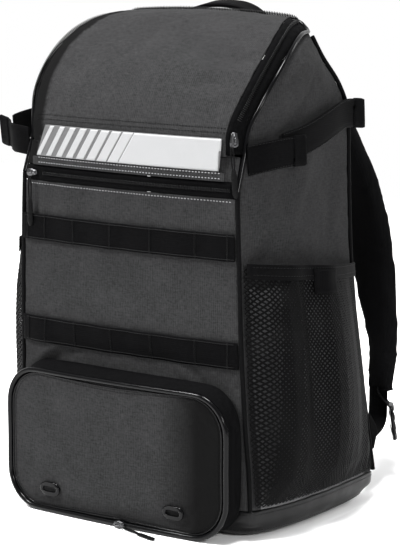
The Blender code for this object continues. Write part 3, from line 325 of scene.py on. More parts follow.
finishes = {row[0]: wovenMaterial(*row, **options) for *row, options in wovenLooks}
finishes.update({row[0]: smoothMaterial(*row, **options) for *row, options in smoothLooks})
print("materials made:", len(finishes))


# Geometry Nodes: stitches, zip teeth and the net

def newGeometryTree(name, inputs):
    return newGroup(name, {"Geometry": None, **inputs, "Material": None}, ["Geometry"], "GeometryNodeTree")


def closeTree(tree, entry, leave, geometry):
    real = addNode(tree, "GeometryNodeRealizeInstances", {0: geometry}).outputs[0]
    named = addNode(tree, "GeometryNodeSetMaterial", {0: real, "Material": entry.outputs["Material"]})
    return closeGroup(tree, leave, Geometry=named.outputs[0])


def makeBeadTree():
    # beads set along curves: a stitch is long and thin, a zip tooth is short and wide
    tree, entry, leave = newGeometryTree("beadsAlong", dict(Pitch=0.003, Length=0.002, Width=0.0006,
                                                            Height=0.0005))
    spaced = addNode(tree, "GeometryNodeResampleCurve", {"Curve": entry.outputs["Geometry"],
                                                         "Length": entry.outputs["Pitch"]}, mode="LENGTH")
    ball = addNode(tree, "GeometryNodeMeshUVSphere", {"Segments": 6, "Rings": 4, "Radius": 0.5})
    size = addNode(tree, "ShaderNodeCombineXYZ", {0: entry.outputs["Width"], 1: entry.outputs["Height"],
                                                  2: entry.outputs["Length"]})
    bead = addNode(tree, "GeometryNodeTransform", {"Geometry": ball.outputs[0], "Scale": size.outputs[0]})
    tangent = addNode(tree, "GeometryNodeInputTangent").outputs[0]
    normal = addNode(tree, "GeometryNodeInputNormal").outputs[0]
    lying = addNode(tree, "FunctionNodeAlignEulerToVector", {"Vector": tangent}, axis="Z")
    turned = addNode(tree, "FunctionNodeAlignEulerToVector", {"Rotation": lying.outputs[0], "Vector": normal},
                     axis="Y", pivot_axis="Z")
    placed = addNode(tree, "GeometryNodeInstanceOnPoints", {
        "Points": spaced.outputs[0], "Instance": bead.outputs[0], "Rotation": turned.outputs[0]})
    return closeTree(tree, entry, leave, placed.outputs[0])


def makeNetTree():
    # each diamond of the sheet becomes a ring round a hole
    tree, entry, leave = newGeometryTree("knittedNet", {"Hole Share": 0.6})
    pushed = addNode(tree, "GeometryNodeExtrudeMesh", {"Mesh": entry.outputs["Geometry"], "Offset Scale": 0.0,
                                                       "Individual": True}, mode="FACES")
    top = pushed.outputs["Top"]
    shrunk = addNode(tree, "GeometryNodeScaleElements", {"Geometry": pushed.outputs["Mesh"], "Selection": top,
                                                         "Scale": entry.outputs["Hole Share"]})
    opened = addNode(tree, "GeometryNodeDeleteGeometry", {"Geometry": shrunk.outputs[0], "Selection": top},
                     domain="FACE")
    return closeTree(tree, entry, leave, opened.outputs[0])


beadTree, netTree = makeBeadTree(), makeNetTree()


def bake(source, tree, values, name):
    # runs a tree on the source object and keeps the plain mesh
    modifier = source.modifiers.new("pattern", "NODES")
    modifier.node_group = tree
    for item in tree.interface.items_tree:
        if item.item_type == "SOCKET" and item.in_out == "INPUT" and item.name in values:
            modifier[item.identifier] = values[item.name]
    source.update_tag()
    bpy.context.view_layer.update()
    mesh = evaluated(source)
    source.modifiers.remove(modifier)
    bpy.data.objects.remove(source, do_unlink=True)
    mesh.name = name
    return addObject(name, mesh)


def curveObject(name, paths, cyclic=False, twist="Z_UP"):
    data = bpy.data.curves.new(name, "CURVE")
    data.dimensions = "3D"
    data.twist_mode = twist
    for path in paths:
        spline = data.splines.new("POLY")
        spline.points.add(len(path) - 1)
        for point, place in zip(spline.points, path):
            point.co = (*place, 1.0)
        spline.use_cyclic_u = cyclic
    return addObject(name, data)


# Making pieces from the frame

def settle(piece, slotName, *replaced, smooth=True):
    if smooth:
        piece.data.shade_smooth()
    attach(piece, "root")
    if replaced:
        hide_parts(*replaced)
    return piece


def mergedCopy(node, quads=True):
    shape = bmesh.new()
    shape.from_mesh(cadNodes[node].data)
    bmesh.ops.remove_doubles(shape, verts=shape.verts, dist=0.00002)
    if quads:
        bmesh.ops.join_triangles(shape, faces=shape.faces, angle_face_threshold=math.radians(28),
                                 angle_shape_threshold=math.radians(35))
    return shape


def plainMesh(mesh):
    # points and faces only: normals stored with the frame would hide the folds
    made = bpy.data.meshes.new("plain")
    made.from_pydata([tuple(vertex.co) for vertex in mesh.vertices], [],
                     [tuple(polygon.vertices) for polygon in mesh.polygons])
    for paint in mesh.materials:
        made.materials.append(paint)
    bpy.data.meshes.remove(mesh)
    return made


def applyModifiers(piece):
    mesh = plainMesh(evaluated(piece))
    old = piece.data
    piece.modifiers.clear()
    piece.data = mesh
    bpy.data.meshes.remove(old)


def meshOf(shape, name):
    mesh = bpy.data.meshes.new(name)
    shape.to_mesh(mesh)
    shape.free()
    return mesh


def paintOver(mesh, finish):
    mesh.materials.clear()
    mesh.materials.append(finishes[finish])


def divide(piece, levels):
    modifier = piece.modifiers.new("divide", "SUBSURF")
    modifier.levels = modifier.render_levels = levels
    return modifier


def thicken(piece, thickness):
    piece.modifiers.new("skin", "SOLIDIFY").thickness = thickness


def camel(node):
    first, *others = node.split("_")
    return first + "".join(word.capitalize() for word in others)


def refine(node, finish, levels=2, crease=0.85, sharp=55.0, flat=False, name=None):
    # the CAD node's form with rounded edges and enough points for folds
    shape = mergedCopy(node)
    creases = shape.edges.layers.float.new("crease_edge")
    for edge in shape.edges:
        if len(edge.link_faces) == 2 and edge.calc_face_angle(0.0) > math.radians(sharp):
            edge[creases] = crease
    name = name or camel(node)
    piece = addObject(name, meshOf(shape, name))
    rounding = divide(piece, levels)
    rounding.boundary_smooth = "PRESERVE_CORNERS"
    if flat:  # thin tapes keep their corners
        rounding.subdivision_type = "SIMPLE"
    applyModifiers(piece)
    paintOver(piece.data, finish)
    return piece


def dress(node, finish, slotName, levels=2, plane=None, turned=False, **options):
    # a refined piece without folds that takes its node's place
    piece = refine(node, finish, levels, **options)
    if plane:
        layCloth(piece, plane, turned)
    return settle(piece, slotName, node)


flapAxis = dict(back=0.027, height=0.395, radius=0.115)  # the brow's centre line, for the flap's cloth


def clothPlace(plane, x, y, z):
    # where a point lies on the flat cut of its panel, in metres
    if plane == "front":
        return x, z
    if plane == "side":
        return y, z
    if plane == "top":
        return x, y
    if z < flapAxis["height"]:
        return x, z
    turn = math.atan2(z - flapAxis["height"], flapAxis["back"] - y)
    return x, flapAxis["height"] + turn * flapAxis["radius"]


def layCloth(piece, plane, turned=False):
    mesh = piece.data
    layer = mesh.uv_layers.get("cut") or mesh.uv_layers.new(name="cut")
    places = [clothPlace(plane, *vertex.co) for vertex in mesh.vertices]
    for loop in mesh.loops:
        u, v = places[loop.vertex_index]
        layer.data[loop.index].uv = (v, u) if turned else (u, v)
    return piece


def foldTable(*rows):
    # place on the cut, half length, half width, depth and turn in degrees
    return [dict(zip(("across", "up", "reach", "breadth", "depth", "turn"), row)) for row in rows]


def pressFolds(piece, plane, wayOf, folds, grain=0.0, grainSize=0.02):
    # wayOf gives the way out at a place
    rows = [(fold["across"], fold["up"], fold["reach"], fold["breadth"], fold["depth"],
             math.cos(math.radians(fold["turn"])), math.sin(math.radians(fold["turn"]))) for fold in folds]
    for vertex in piece.data.vertices:
        u, v = clothPlace(plane, *vertex.co)
        total = grain * noise.fractal(Vector((u, v, 0.31)) / grainSize, 0.6, 2.1, 3)
        for across, up, reach, breadth, depth, cosine, sine in rows:
            along = ((u - across) * cosine + (v - up) * sine) / reach
            over = ((v - up) * cosine - (u - across) * sine) / breadth
            spread = along * along + over * over
            if spread < 9.0:  # a fold is flat past three of its half widths
                total += depth * math.exp(-spread)
        vertex.co += wayOf(vertex.co) * total
    piece.data.update()
    return piece


def paintShade(piece, shadeOf):
    # paints a darker place on the cloth, from 0 to 1: painted shade on the box face, the black of the zip
    # tape on the flap's left margin
    layer = piece.data.attributes.new("shade", "FLOAT", "POINT")
    shades = [min(max(shadeOf(vertex.co), 0.0), 1.0) for vertex in piece.data.vertices]
    layer.data.foreach_set("value", shades)
    return piece


def toward(*way):
    fixedWay = Vector(way)
    return lambda place: fixedWay


def flapOut(place):
    # away from the brow's centre line, fading to nothing at the hem
    out = Vector((0.0, place.y - flapAxis["back"], max(place.z - flapAxis["height"], 0.0)))
    return out.normalized() * min(max((place.z - 0.398) / 0.006, 0.0), 1.0)


def pathOf(node, radius, closed=False):
    # centre line of a round CAD tube: points step in by the radius, and near ones make one station
    shape = mergedCopy(node, quads=False)
    shape.normal_update()
    inner = [vertex.co - vertex.normal * radius for vertex in shape.verts]
    outer = [vertex.co.copy() for vertex in shape.verts]
    shape.free()
    centres = []
    for point in inner:
        if all((centre - point).length > radius * 1.5 for centre in centres):
            centres.append(point)
    for tries in range(4):
        groups = [[] for centre in centres]
        for point, spot in zip(inner, outer):
            groups[min(range(len(centres)), key=lambda k: (centres[k] - point).length)].append(spot)
        centres = [sum(group, Vector()) / len(group) for group in groups if group]
    centres = [centre for centre, group in zip(centres, groups) if len(group) > 3]
    start = centres[0] if closed else max(centres, key=lambda c: sum((c - other).length for other in centres))
    path, left = [start], [centre for centre in centres if centre is not start]
    while left:
        nearest = min(left, key=lambda c: (c - path[-1]).length)
        path.append(nearest)
        left.remove(nearest)
    return path


def rounded(path, step, closed=False):
    # evenly spaced points on a smooth curve through the path
    count = len(path)
    fine = []
    spans = count if closed else count - 1
    for i in range(spans):
        before, start = path[i - 1] if (closed or i) else path[0], path[i]
        end = path[(i + 1) % count]
        after = path[(i + 2) % count] if (closed or i + 2 < count) else end
        pieces = max(2, round((end - start).length / step))
        for j in range(pieces):
            t = j / pieces
            bend = (2 * before - 5 * start + 4 * end - after) * t * t
            bow = (3 * start - before - 3 * end + after) * t ** 3
            fine.append(0.5 * (2 * start + (end - before) * t + bend + bow))
    if not closed:
        fine.append(path[-1])
    return fine


def tube(name, paths, radius, finish, sides=10, closed=False):
    curve = curveObject(name + "Line", paths, closed, "MINIMUM")
    curve.data.bevel_depth = radius
    curve.data.bevel_resolution = max(1, sides // 4)
    curve.data.use_fill_caps = not closed
    mesh = evaluated(curve)
    bpy.data.objects.remove(curve, do_unlink=True)
    mesh.name = name
    paintOver(mesh, finish)
    return addObject(name, mesh)


class Surface:
    # finds points on finished pieces by looking at them from outside

    def __init__(self, *pieces):
        points, faces = [], []
        for piece in pieces:
            start = len(points)
            points += [vertex.co.copy() for vertex in piece.data.vertices]
            faces += [tuple(start + k for k in polygon.vertices) for polygon in piece.data.polygons]
        self.tree = BVHTree.FromPolygons(points, faces)

    def look(self, origin, way, lift=0.0):
        spot, normal, index, reach = self.tree.ray_cast(Vector(origin), Vector(way))
        if spot is None:
            return None
        if normal.dot(Vector(way)) > 0:
            normal = -normal
        return spot + normal * lift

    def front(self, x, z, lift=0.0):
        return self.look((x, -0.4, z), (0, 1, 0), lift)

    def side(self, sign, y, z, lift=0.0):
        return self.look((0.5 * sign, y, z), (-sign, 0, 0), lift)

    def over(self, x, turn, lift=0.0):
        out = Vector((0.0, -math.cos(turn), math.sin(turn)))
        return self.look(Vector((x, flapAxis["back"], flapAxis["height"])) + out * 0.4, -out, lift)


def kept(points):
    # splits a run of points where some found nothing
    runs, run = [], []
    for point in points:
        if point is None:
            if len(run) > 1:
                runs.append(run)
            run = []
        else:
            run.append(point)
    return runs + [run] if len(run) > 1 else runs


stitchKinds = dict(
    pale=dict(Pitch=0.0036, Length=0.0023, Width=0.0012, Height=0.0008),
    plain=dict(Pitch=0.0036, Length=0.0029, Width=0.0006, Height=0.0005),
    tack=dict(Pitch=0.0011, Length=0.0022, Width=0.0008, Height=0.0006),
)


def stitches(name, paths, kind, finish, slotName):
    runs = [run for path in paths for run in kept(path)]
    source = curveObject(name + "Line", runs)
    piece = bake(source, beadTree, {**stitchKinds[kind], "Material": finishes[finish]}, name)
    return settle(piece, slotName)


# Body cloth

def flapLevel(turn):
    return flapAxis["height"] + flapAxis["radius"] * turn


frontFolds = foldTable(  # ripples under the pocket zip, dents under the lower webbing, a sag between the rows
    *[(x, 0.318, 0.020, 0.006, depth, turn) for x, depth, turn in (
        (-0.098, -0.0010, 84), (-0.078, 0.0008, 88), (-0.052, -0.0011, 80), (-0.030, 0.0009, 92),
        (-0.006, -0.0010, 84), (0.022, 0.0008, 90), (0.046, -0.0009, 82), (0.070, 0.0008, 78),
        (0.096, -0.0010, 74))],
    (-0.105, 0.160, 0.030, 0.006, 0.0026, 34), (-0.086, 0.158, 0.030, 0.008, -0.0024, 30),
    (0.070, 0.161, 0.016, 0.005, 0.0018, -40), (0.084, 0.160, 0.016, 0.006, -0.0014, -36),
    (0.000, 0.235, 0.090, 0.020, -0.0012, 1), (-0.070, 0.262, 0.020, 0.007, 0.0008, 70),
    (0.060, 0.258, 0.022, 0.007, -0.0008, 105))
flapFolds = foldTable(  # gathers above the band, and drag lines that run in from both sides of the zip
    *[(x, 0.418, 0.024, 0.0065, depth, turn) for x, depth, turn in (
        (-0.104, -0.00144, 98), (-0.088, 0.00108, 100), (-0.062, -0.00081, 86), (-0.020, 0.00063, 92),
        (0.016, -0.00081, 84), (0.042, 0.00072, 80), (0.066, -0.00108, 76), (0.092, 0.00090, 70))],
    *[(0.092, flapLevel(level), 0.028, 0.0050, depth, turn) for level, depth, turn in (
        (0.42, -0.00132, 8), (0.56, 0.00110, 4), (0.70, -0.00154, 0), (0.84, 0.00121, -6),
        (0.98, -0.00154, -10), (1.12, 0.00110, -14), (1.26, -0.00110, -18))],
    *[(-0.104, flapLevel(level), 0.020, 0.006, depth, turn) for level, depth, turn in (
        (0.50, -0.0010, -20), (0.75, 0.0008, -12), (1.05, -0.0009, -4))],
    (0.010, 0.500, 0.075, 0.018, -0.0014, -4), (-0.030, 0.545, 0.060, 0.014, 0.0010, 5))
sideFolds = foldTable(  # long soft folds that fall from the zip and the bat strap
    (-0.035, 0.335, 0.060, 0.011, -0.0022, 64), (0.000, 0.345, 0.050, 0.010, 0.0018, 58),
    (0.055, 0.315, 0.050, 0.013, -0.0014, 84), (-0.060, 0.295, 0.030, 0.008, 0.0014, 40),
    (0.010, 0.430, 0.040, 0.009, -0.0016, 42), (0.040, 0.452, 0.034, 0.008, 0.0012, 50),
    (-0.020, 0.405, 0.034, 0.007, -0.0010, 30))
boxFolds = foldTable(  # drag lines at the right corners and a hollow on the right of the face
    (0.104, 0.126, 0.020, 0.0045, -0.0016, -52), (0.092, 0.122, 0.020, 0.0050, 0.0012, -60),
    (0.116, 0.108, 0.016, 0.0045, 0.0012, -30), (0.100, 0.028, 0.020, 0.0050, -0.0015, 60),
    (0.082, 0.022, 0.018, 0.0050, 0.0012, 74), (0.088, 0.078, 0.036, 0.012, -0.0016, 86),
    (-0.112, 0.122, 0.018, 0.0050, -0.0010, 45), (-0.050, 0.016, 0.016, 0.0050, -0.0008, 86),
    (0.010, 0.014, 0.016, 0.0050, -0.0008, 94))

frontPanel = refine("front_panel", "charcoalCloth", 3)
pressFolds(frontPanel, "front", toward(0, -1.4, 0), frontFolds, 0.0004, 0.020)
settle(layCloth(frontPanel, "front"), "charcoal_cloth", "front_panel")

flap = refine("flap", "charcoalCloth", 3)
pressFolds(flap, "flap", flapOut, flapFolds, 0.0006, 0.022)  # both faces move together
marginPlan = dict(level=0.006, width=0.0150, fade=0.0012, dark=0.95)
leftEdge = {}


def marginLevel(place):
    return round(clothPlace("flap", *place)[1] / marginPlan["level"])


for vertex in flap.data.vertices:
    level = marginLevel(vertex.co)
    leftEdge[level] = min(leftEdge.get(level, 0.0), vertex.co.x)


def flapMargin(place):
    # the left margin is bound in black up to the zip
    inner = leftEdge[marginLevel(place)] + marginPlan["width"]
    return min((inner - place.x) / marginPlan["fade"], marginPlan["dark"])


paintShade(flap, flapMargin)
settle(layCloth(flap, "flap"), "charcoal_cloth", "flap")

# painted light: the side panels' stretch behind the net pockets takes the lighter copy of the cloth
paintedLightPlan = dict(top=0.246, front=-0.084, rear=0.098)  # the side panels' stretch behind the net pockets
for side, sign in (("left", -1), ("right", 1)):
    panel = refine("side_panel_" + side, "charcoalCloth", 3)
    pressFolds(panel, "side", toward(1.5 * sign, 0, 0), sideFolds, 0.0005, 0.024)
    # painted light: the faces behind the net get the lighter cloth
    panel.data.materials.append(finishes["paintedLightCloth"])
    for polygon in panel.data.polygons:
        middle = polygon.center
        behind = middle.z < paintedLightPlan["top"] and paintedLightPlan["front"] < middle.y < paintedLightPlan["rear"]
        polygon.material_index = int(behind)
    settle(layCloth(panel, "side"), "charcoal_cloth", "side_panel_" + side)

topYoke = refine("top_yoke", "charcoalCloth", 3)
pressFolds(topYoke, "front", toward(0, 1, 0), [], 0.0005, 0.018)
settle(layCloth(topYoke, "front"), "charcoal_cloth", "top_yoke")

guardStrip = dress("zip_guard_strip", "charcoalCloth", "charcoal_cloth", 3, "front")
print("body cloth made")


# Foot of the pack

bootPlan = dict(flatFoot=0.004, ripple=0.0006, rippleSize=0.026)
boot = refine("base_boot", "coatedCloth", 3, crease=0.6)
for vertex in boot.data.vertices:
    if vertex.co.z > bootPlan["flatFoot"]:
        pull = bootPlan["ripple"] * noise.fractal(vertex.co / bootPlan["rippleSize"], 0.6, 2.1, 3)
        vertex.co += Vector((vertex.co.x, vertex.co.y, 0.0)).normalized() * pull
settle(boot, "coated_cloth", "base_boot")


# Padded back and shoulder straps

padding = dict(
    back=dict(voxel=0.0060, pressure=3.0, cap=0.004, shrink=0.0002),
    strap=dict(voxel=0.0036, pressure=4.0, cap=0.003, shrink=-0.0012),
)
clothFrames = 20


def inflate(name, node, settings, finish):
    shape = mergedCopy(node, quads=False)
    shape.normal_update()
    for vertex in shape.verts:
        vertex.co -= vertex.normal * settings["shrink"]
    pad = addObject(name, meshOf(shape, name))
    remesh = pad.modifiers.new("remesh", "REMESH")
    remesh.mode = "VOXEL"
    remesh.voxel_size = settings["voxel"]
    remesh.use_smooth_shade = True
    applyModifiers(pad)
    before = [vertex.co.copy() for vertex in pad.data.vertices]
    cloth = pad.modifiers.new("cloth", "CLOTH")
    cloth.settings.use_pressure = True
    cloth.settings.uniform_pressure_force = settings["pressure"]
    cloth.settings.effector_weights.gravity = 0.0
    cloth.settings.quality = 4
    cloth.settings.tension_stiffness = 30
    cloth.settings.compression_stiffness = 30
    cloth.point_cache.frame_start = 1
    cloth.point_cache.frame_end = clothFrames
    for step in range(1, clothFrames + 1):
        scene.frame_set(step)
    applyModifiers(pad)
    scene.frame_set(1)
    for vertex, old in zip(pad.data.vertices, before):
        moved = vertex.co - old
        if moved.length > settings["cap"]:
            vertex.co = old + moved.normalized() * settings["cap"]
    even = pad.modifiers.new("even", "SMOOTH")
    even.factor = 0.5
    even.iterations = 8
    divide(pad, 1)
    applyModifiers(pad)
    paintOver(pad.data, finish)
    return settle(pad, "black_cloth", node)


backPad = inflate("backPad", "back_panel", padding["back"], "padCloth")
for side in ("left", "right"):
    pad = inflate("shoulderPad" + side.capitalize(), "shoulder_strap_" + side, padding["strap"], "padCloth")
print("padding made")


# Zips

zips = dict(
    flap=dict(plane="flap", teeth=dict(Pitch=0.0020, Length=0.0013, Width=0.0054, Height=0.0022)),
    pocket=dict(plane="front", teeth=dict(Pitch=0.0018, Length=0.0011, Width=0.0044, Height=0.0018)),
)
coilPath = dict(radius=0.0017, step=0.004)
for zipName, plan in zips.items():
    dress(zipName + "_zip_tape", "blackCloth", "black_cloth", 1, plan["plane"], flat=True)
    line = rounded(pathOf(zipName + "_zip_coil", coilPath["radius"]), coilPath["step"])
    teeth = bake(curveObject(zipName + "TeethLine", [line]), beadTree,
                 {**plan["teeth"], "Material": finishes["zipCoil"]}, zipName + "ZipTeeth")
    settle(teeth, "black_cloth", zipName + "_zip_coil")


def axesOf(node):
    # long, middle and thin directions of a small CAD block, and its centre and size
    points = np.array([vertex.co[:] for vertex in cadNodes[node].data.vertices])
    centre = (points.max(0) + points.min(0)) / 2
    values, vectors = np.linalg.eigh(np.cov((points - points.mean(0)).T))
    ways = [Vector(vectors[:, k]).normalized() for k in (2, 1, 0)]
    spans = [max((points - centre) @ np.array(way)) * 2 for way in ways]
    return Vector(centre), ways, spans


sliderShape = dict(height=0.0042, waist=0.72, bridge=0.0016, bridgeRise=0.0022, ring=0.0042, ringWire=0.0007)


def ovalLoft(shape, sections):
    # closed skin over oval sections: centre, two half axes as vectors
    sides, rings = 14, []
    for centre, first, second in sections:
        rings.append([shape.verts.new(centre + first * math.cos(math.tau * k / sides)
                                      + second * math.sin(math.tau * k / sides)) for k in range(sides)])
    for a, b in zip(rings, rings[1:]):
        for k in range(sides):
            shape.faces.new((a[k], a[(k + 1) % sides], b[(k + 1) % sides], b[k]))
    for ring, flip in ((rings[0], True), (rings[-1], False)):
        middle = shape.verts.new(sum((v.co for v in ring), Vector()) / sides)
        for k in range(sides):
            after = (k + 1) % sides
            shape.faces.new((middle, ring[after], ring[k]) if flip else (middle, ring[k], ring[after]))


def wireRing(shape, centre, first, second, radius, wire, steps=18, sides=6):
    rings = []
    for i in range(steps):
        turn = math.tau * i / steps
        out = first * math.cos(turn) + second * math.sin(turn)
        axis = first.cross(second).normalized()
        rings.append([shape.verts.new(centre + out * radius + out * wire * math.cos(math.tau * k / sides)
                                      + axis * wire * math.sin(math.tau * k / sides)) for k in range(sides)])
    for i in range(steps):
        a, b = rings[i], rings[(i + 1) % steps]
        for k in range(sides):
            shape.faces.new((a[k], b[k], b[(k + 1) % sides], a[(k + 1) % sides]))


def gridFaces(shape, grid):
    # faces between rows of points, where all four corners are there
    for near, far in zip(grid, grid[1:]):
        for corner in zip(near, near[1:], far[1:], far):
            if None not in corner:
                shape.faces.new(corner)


def finishShape(shape, name, finish):
    bmesh.ops.recalc_face_normals(shape, faces=shape.faces)
    mesh = meshOf(shape, name)
    mesh.materials.append(finishes[finish])
    return addObject(name, mesh)


def makeSlider(name, node, outward, pullWay):
    centre, ways, spans = axesOf(node)
    thin = min(ways, key=lambda way: -abs(way.dot(Vector(outward))))
    thin = thin if thin.dot(Vector(outward)) > 0 else -thin
    flat = [(way, span) for way, span in zip(ways, spans) if way is not thin and way != -thin][:2]
    along, length = max(flat, key=lambda row: abs(row[0].dot(Vector(pullWay))))
    across = thin.cross(along)
    width = min(row[1] for row in flat)
    height = sliderShape["height"]
    shape = bmesh.new()
    for layer in (-0.30, 0.16):  # bottom and top plate with a waist between nose and tail
        base = centre + thin * height * layer
        sections = []
        for share, wide in ((-0.5, 0.30), (-0.42, 0.86), (-0.15, 1.0), (0.2, sliderShape["waist"]),
                            (0.42, 0.62), (0.5, 0.2)):
            sections.append((base + along * length * share, across * width * wide / 2, thin * 0.0008))
        ovalLoft(shape, sections)
    rise = sliderShape["bridgeRise"]
    arch = []
    for k in range(9):
        turn = math.pi * k / 8
        lift = thin * (height * 0.18 + rise * math.sin(turn))
        spot = centre + lift - along * length * 0.36 * math.cos(turn)
        thick = (thin * math.sin(turn) - along * math.cos(turn)) * 0.0005
        arch.append((spot, across * sliderShape["bridge"] / 2, thick))
    ovalLoft(shape, arch)
    wireRing(shape, centre + thin * (height * 0.2 + rise * 0.6), along, thin, sliderShape["ring"] * 0.5,
             sliderShape["ringWire"])
    return settle(finishShape(shape, name, "zipMetal"), "dark_metal", node)


pullShape = dict(cord=0.0011, tabShare=0.58, ridges=5)


def makePull(name, node, start):
    # a cord loop that ends in a moulded, ridged tab
    centre, ways, spans = axesOf(node)
    long, wide = ways[0], ways[1]
    thin = long.cross(wide)
    if (Vector(start) - centre).dot(long) > 0:
        long = -long
    length, width, thick = spans[0], spans[1], spans[2]
    shape = bmesh.new()
    tabStart = -length / 2 + length * (1 - pullShape["tabShare"])
    sections = []
    steps = 26
    for k in range(steps + 1):
        share = k / steps
        spot = tabStart + (length / 2 - tabStart) * share
        taper = min(1.0, 0.55 + 2.2 * share) * min(1.0, 0.35 + 5.0 * (1 - share))
        ridge = 1.0 + 0.10 * math.cos(math.tau * share * pullShape["ridges"])
        halfThick = thin * thick * 0.44 * taper * ridge
        sections.append((centre + long * spot, wide * width * 0.46 * taper, halfThick))
    ovalLoft(shape, sections)
    for side in (-1, 1):
        cord = []
        for k in range(9):
            share = k / 8
            spot = -length / 2 + (tabStart + length / 2 + 0.003) * share
            bow = side * (0.0009 + 0.0008 * math.sin(math.pi * share))
            half = pullShape["cord"] * 0.7
            cord.append((centre + long * spot + wide * bow, wide * half, thin * half))
        ovalLoft(shape, cord)
    return settle(finishShape(shape, name, "blackThread"), "black_webbing", node)


makeSlider("flapSlider", "flap_slider", (0.5, -0.8, 0.1), (0, 0, 1))
makeSlider("pocketSlider", "pocket_slider", (0, -1, 0), (1, 0, 0))
makeSlider("boxSlider", "box_slider", (0, -1, 0), (1, 0, 0))
makePull("flapPull", "flap_pull", (0.126, -0.100, 0.39))
makePull("pocketPull", "pocket_pull", (-0.13, -0.100, 0.35))
makePull("boxPull", "box_pull", (0.014, -0.131, 0.003))
print("zips made")


# Corded seams

cordRadius = 0.0022
pipings = dict(flap_zip_piping=dict(name="flapPiping", radius=0.0024, finish="glossPiping",
                                    slot="glossy_piping"))
for node in ("front_piping_left", "front_piping_right", "rear_piping_left", "rear_piping_right"):
    pipings[node] = dict(name=camel(node), radius=cordRadius, finish="cordPiping", slot="black_cloth")
seamLines = {node: pathOf(node, cordRadius) for node in pipings}
flapLine = seamLines["flap_zip_piping"]
for end in (0, -1):  # the flap's cord runs on into the front seam below it
    near = [line[tip] for node, line in seamLines.items() if node.startswith("front") for tip in (0, -1)]
    seam = min(near, key=lambda point: (point - flapLine[end]).length)
    if (seam - flapLine[end]).length < 0.050:
        flapLine.insert(0 if end == 0 else len(flapLine), seam.copy())
for node, row in pipings.items():
    cord = tube(row["name"], [rounded(seamLines[node], 0.006)], row["radius"], row["finish"])
    settle(cord, row["slot"], node)
boxPiping = dict(radius=0.0028, innerRadius=0.0009, inset=0.0050, stitchInset=0.0085)
boxLine = rounded(pathOf("box_pocket_piping", boxPiping["radius"], closed=True), 0.006, closed=True)
boxCord = tube("boxPiping", [boxLine], boxPiping["radius"], "glossPiping", sides=12, closed=True)
settle(boxCord, "glossy_piping", "box_pocket_piping")
print("seams made")


# Box pocket

# painted shade on the box face: where it starts at each margin, how far it fades in, how dark it gets
boxPaintedShade = dict(right=0.058, rightFade=0.046, bottom=0.026, bottomFade=0.030, left=-0.124, leftFade=0.020,
                dark=0.93)


def boxPaintedShadeAt(place):
    # painted shade: the face's colour darkens towards its right, bottom and left margins
    return max(min((place.x - boxPaintedShade["right"]) / boxPaintedShade["rightFade"], 1.0),
               (boxPaintedShade["bottom"] - place.z) / boxPaintedShade["bottomFade"],
               (boxPaintedShade["left"] - place.x) / boxPaintedShade["leftFade"]) * boxPaintedShade["dark"]


boxFace = refine("box_pocket_face", "boxCloth", 3)
pressFolds(boxFace, "front", toward(0, -1, 0), boxFolds, 0.0005, 0.022)
paintShade(boxFace, boxPaintedShadeAt)
settle(layCloth(boxFace, "front"), "charcoal_cloth", "box_pocket_face")

dress("box_pocket_gusset", "blackCloth", "black_cloth", 2, "top")
boxMiddle = sum(boxLine, Vector()) / len(boxLine)
faceSurface = Surface(boxFace)


def insetOn(surface, point, inset):
    # a place on the face, moved in from the box's piping
    inward = (boxMiddle - point).normalized() * inset
    spot = surface.front(point.x + inward.x, point.z + inward.z, 0.0003)
    return spot, point + Vector((inward.x, 0, inward.z))


innerLine = []
for point in boxLine:
    spot, plain = insetOn(faceSurface, point, boxPiping["inset"])
    innerLine.append(spot or plain)
settle(tube("boxInnerPiping", [innerLine], boxPiping["innerRadius"], "glossPiping", sides=8, closed=True),
       "glossy_piping")

for side in ("left", "right"):
    dress("slot_eyelet_" + side, "glossPlastic", "gloss_plastic", crease=0.35, sharp=40)
print("box pocket made")


# Reflective band: diagonal strokes that lead into a plain field

bandPlan = dict(bottom=0.3612, top=0.3918, left=-0.1165, right=0.1150, slant=0.0205, strokes=8,
                pitch=0.0138, gapStart=0.0082, gapEnd=0.0008, lift=0.0003, thickness=0.0003)
bandBase = refine("band", "silverGround", name="bandGround")
settle(layCloth(bandBase, "front"), "reflective_band", "band")
bandGround = Surface(bandBase)


def printedPatch(name, corners, columns, rows):
    # a thin print that follows the flap's cloth between four corners on the cut
    shape = bmesh.new()
    grid = []
    for i in range(rows + 1):
        row = []
        for j in range(columns + 1):
            low = Vector(corners[0]).lerp(Vector(corners[1]), j / columns)
            high = Vector(corners[3]).lerp(Vector(corners[2]), j / columns)
            place = low.lerp(high, i / rows)
            spot = bandGround.front(place.x, place.y, bandPlan["lift"])
            row.append(shape.verts.new(spot) if spot else None)
        grid.append(row)
    gridFaces(shape, grid)
    bmesh.ops.delete(shape, geom=[v for v in shape.verts if not v.link_faces], context="VERTS")
    piece = finishShape(shape, name, "silverPrint")
    thicken(piece, bandPlan["thickness"])
    return piece


def makeBand(plan):
    patches = []
    start = plan["left"]
    for k in range(plan["strokes"]):
        gapNow = plan["gapStart"] + (plan["gapEnd"] - plan["gapStart"]) * k / (plan["strokes"] - 1)
        low, high = start, start + plan["pitch"] - gapNow
        patches.append(printedPatch("stroke", [(low, plan["bottom"]), (high, plan["bottom"]),
                                               (high + plan["slant"], plan["top"]),
                                               (low + plan["slant"], plan["top"])], 8, 16))
        start += plan["pitch"]
    patches.append(printedPatch("field", [(start, plan["bottom"]), (plan["right"] - 0.0015, plan["bottom"]),
                                          (plan["right"], plan["top"]), (start + plan["slant"], plan["top"])],
                                60, 16))
    for patch in patches:
        applyModifiers(patch)
    shape = bmesh.new()
    for patch in patches:
        shape.from_mesh(patch.data)
        bpy.data.objects.remove(patch, do_unlink=True)
    piece = finishShape(shape, "reflectiveBand", "silverPrint")
    return settle(piece, "reflective_band")


makeBand(bandPlan)
print("band made")


# Webbing rows, straps and handle

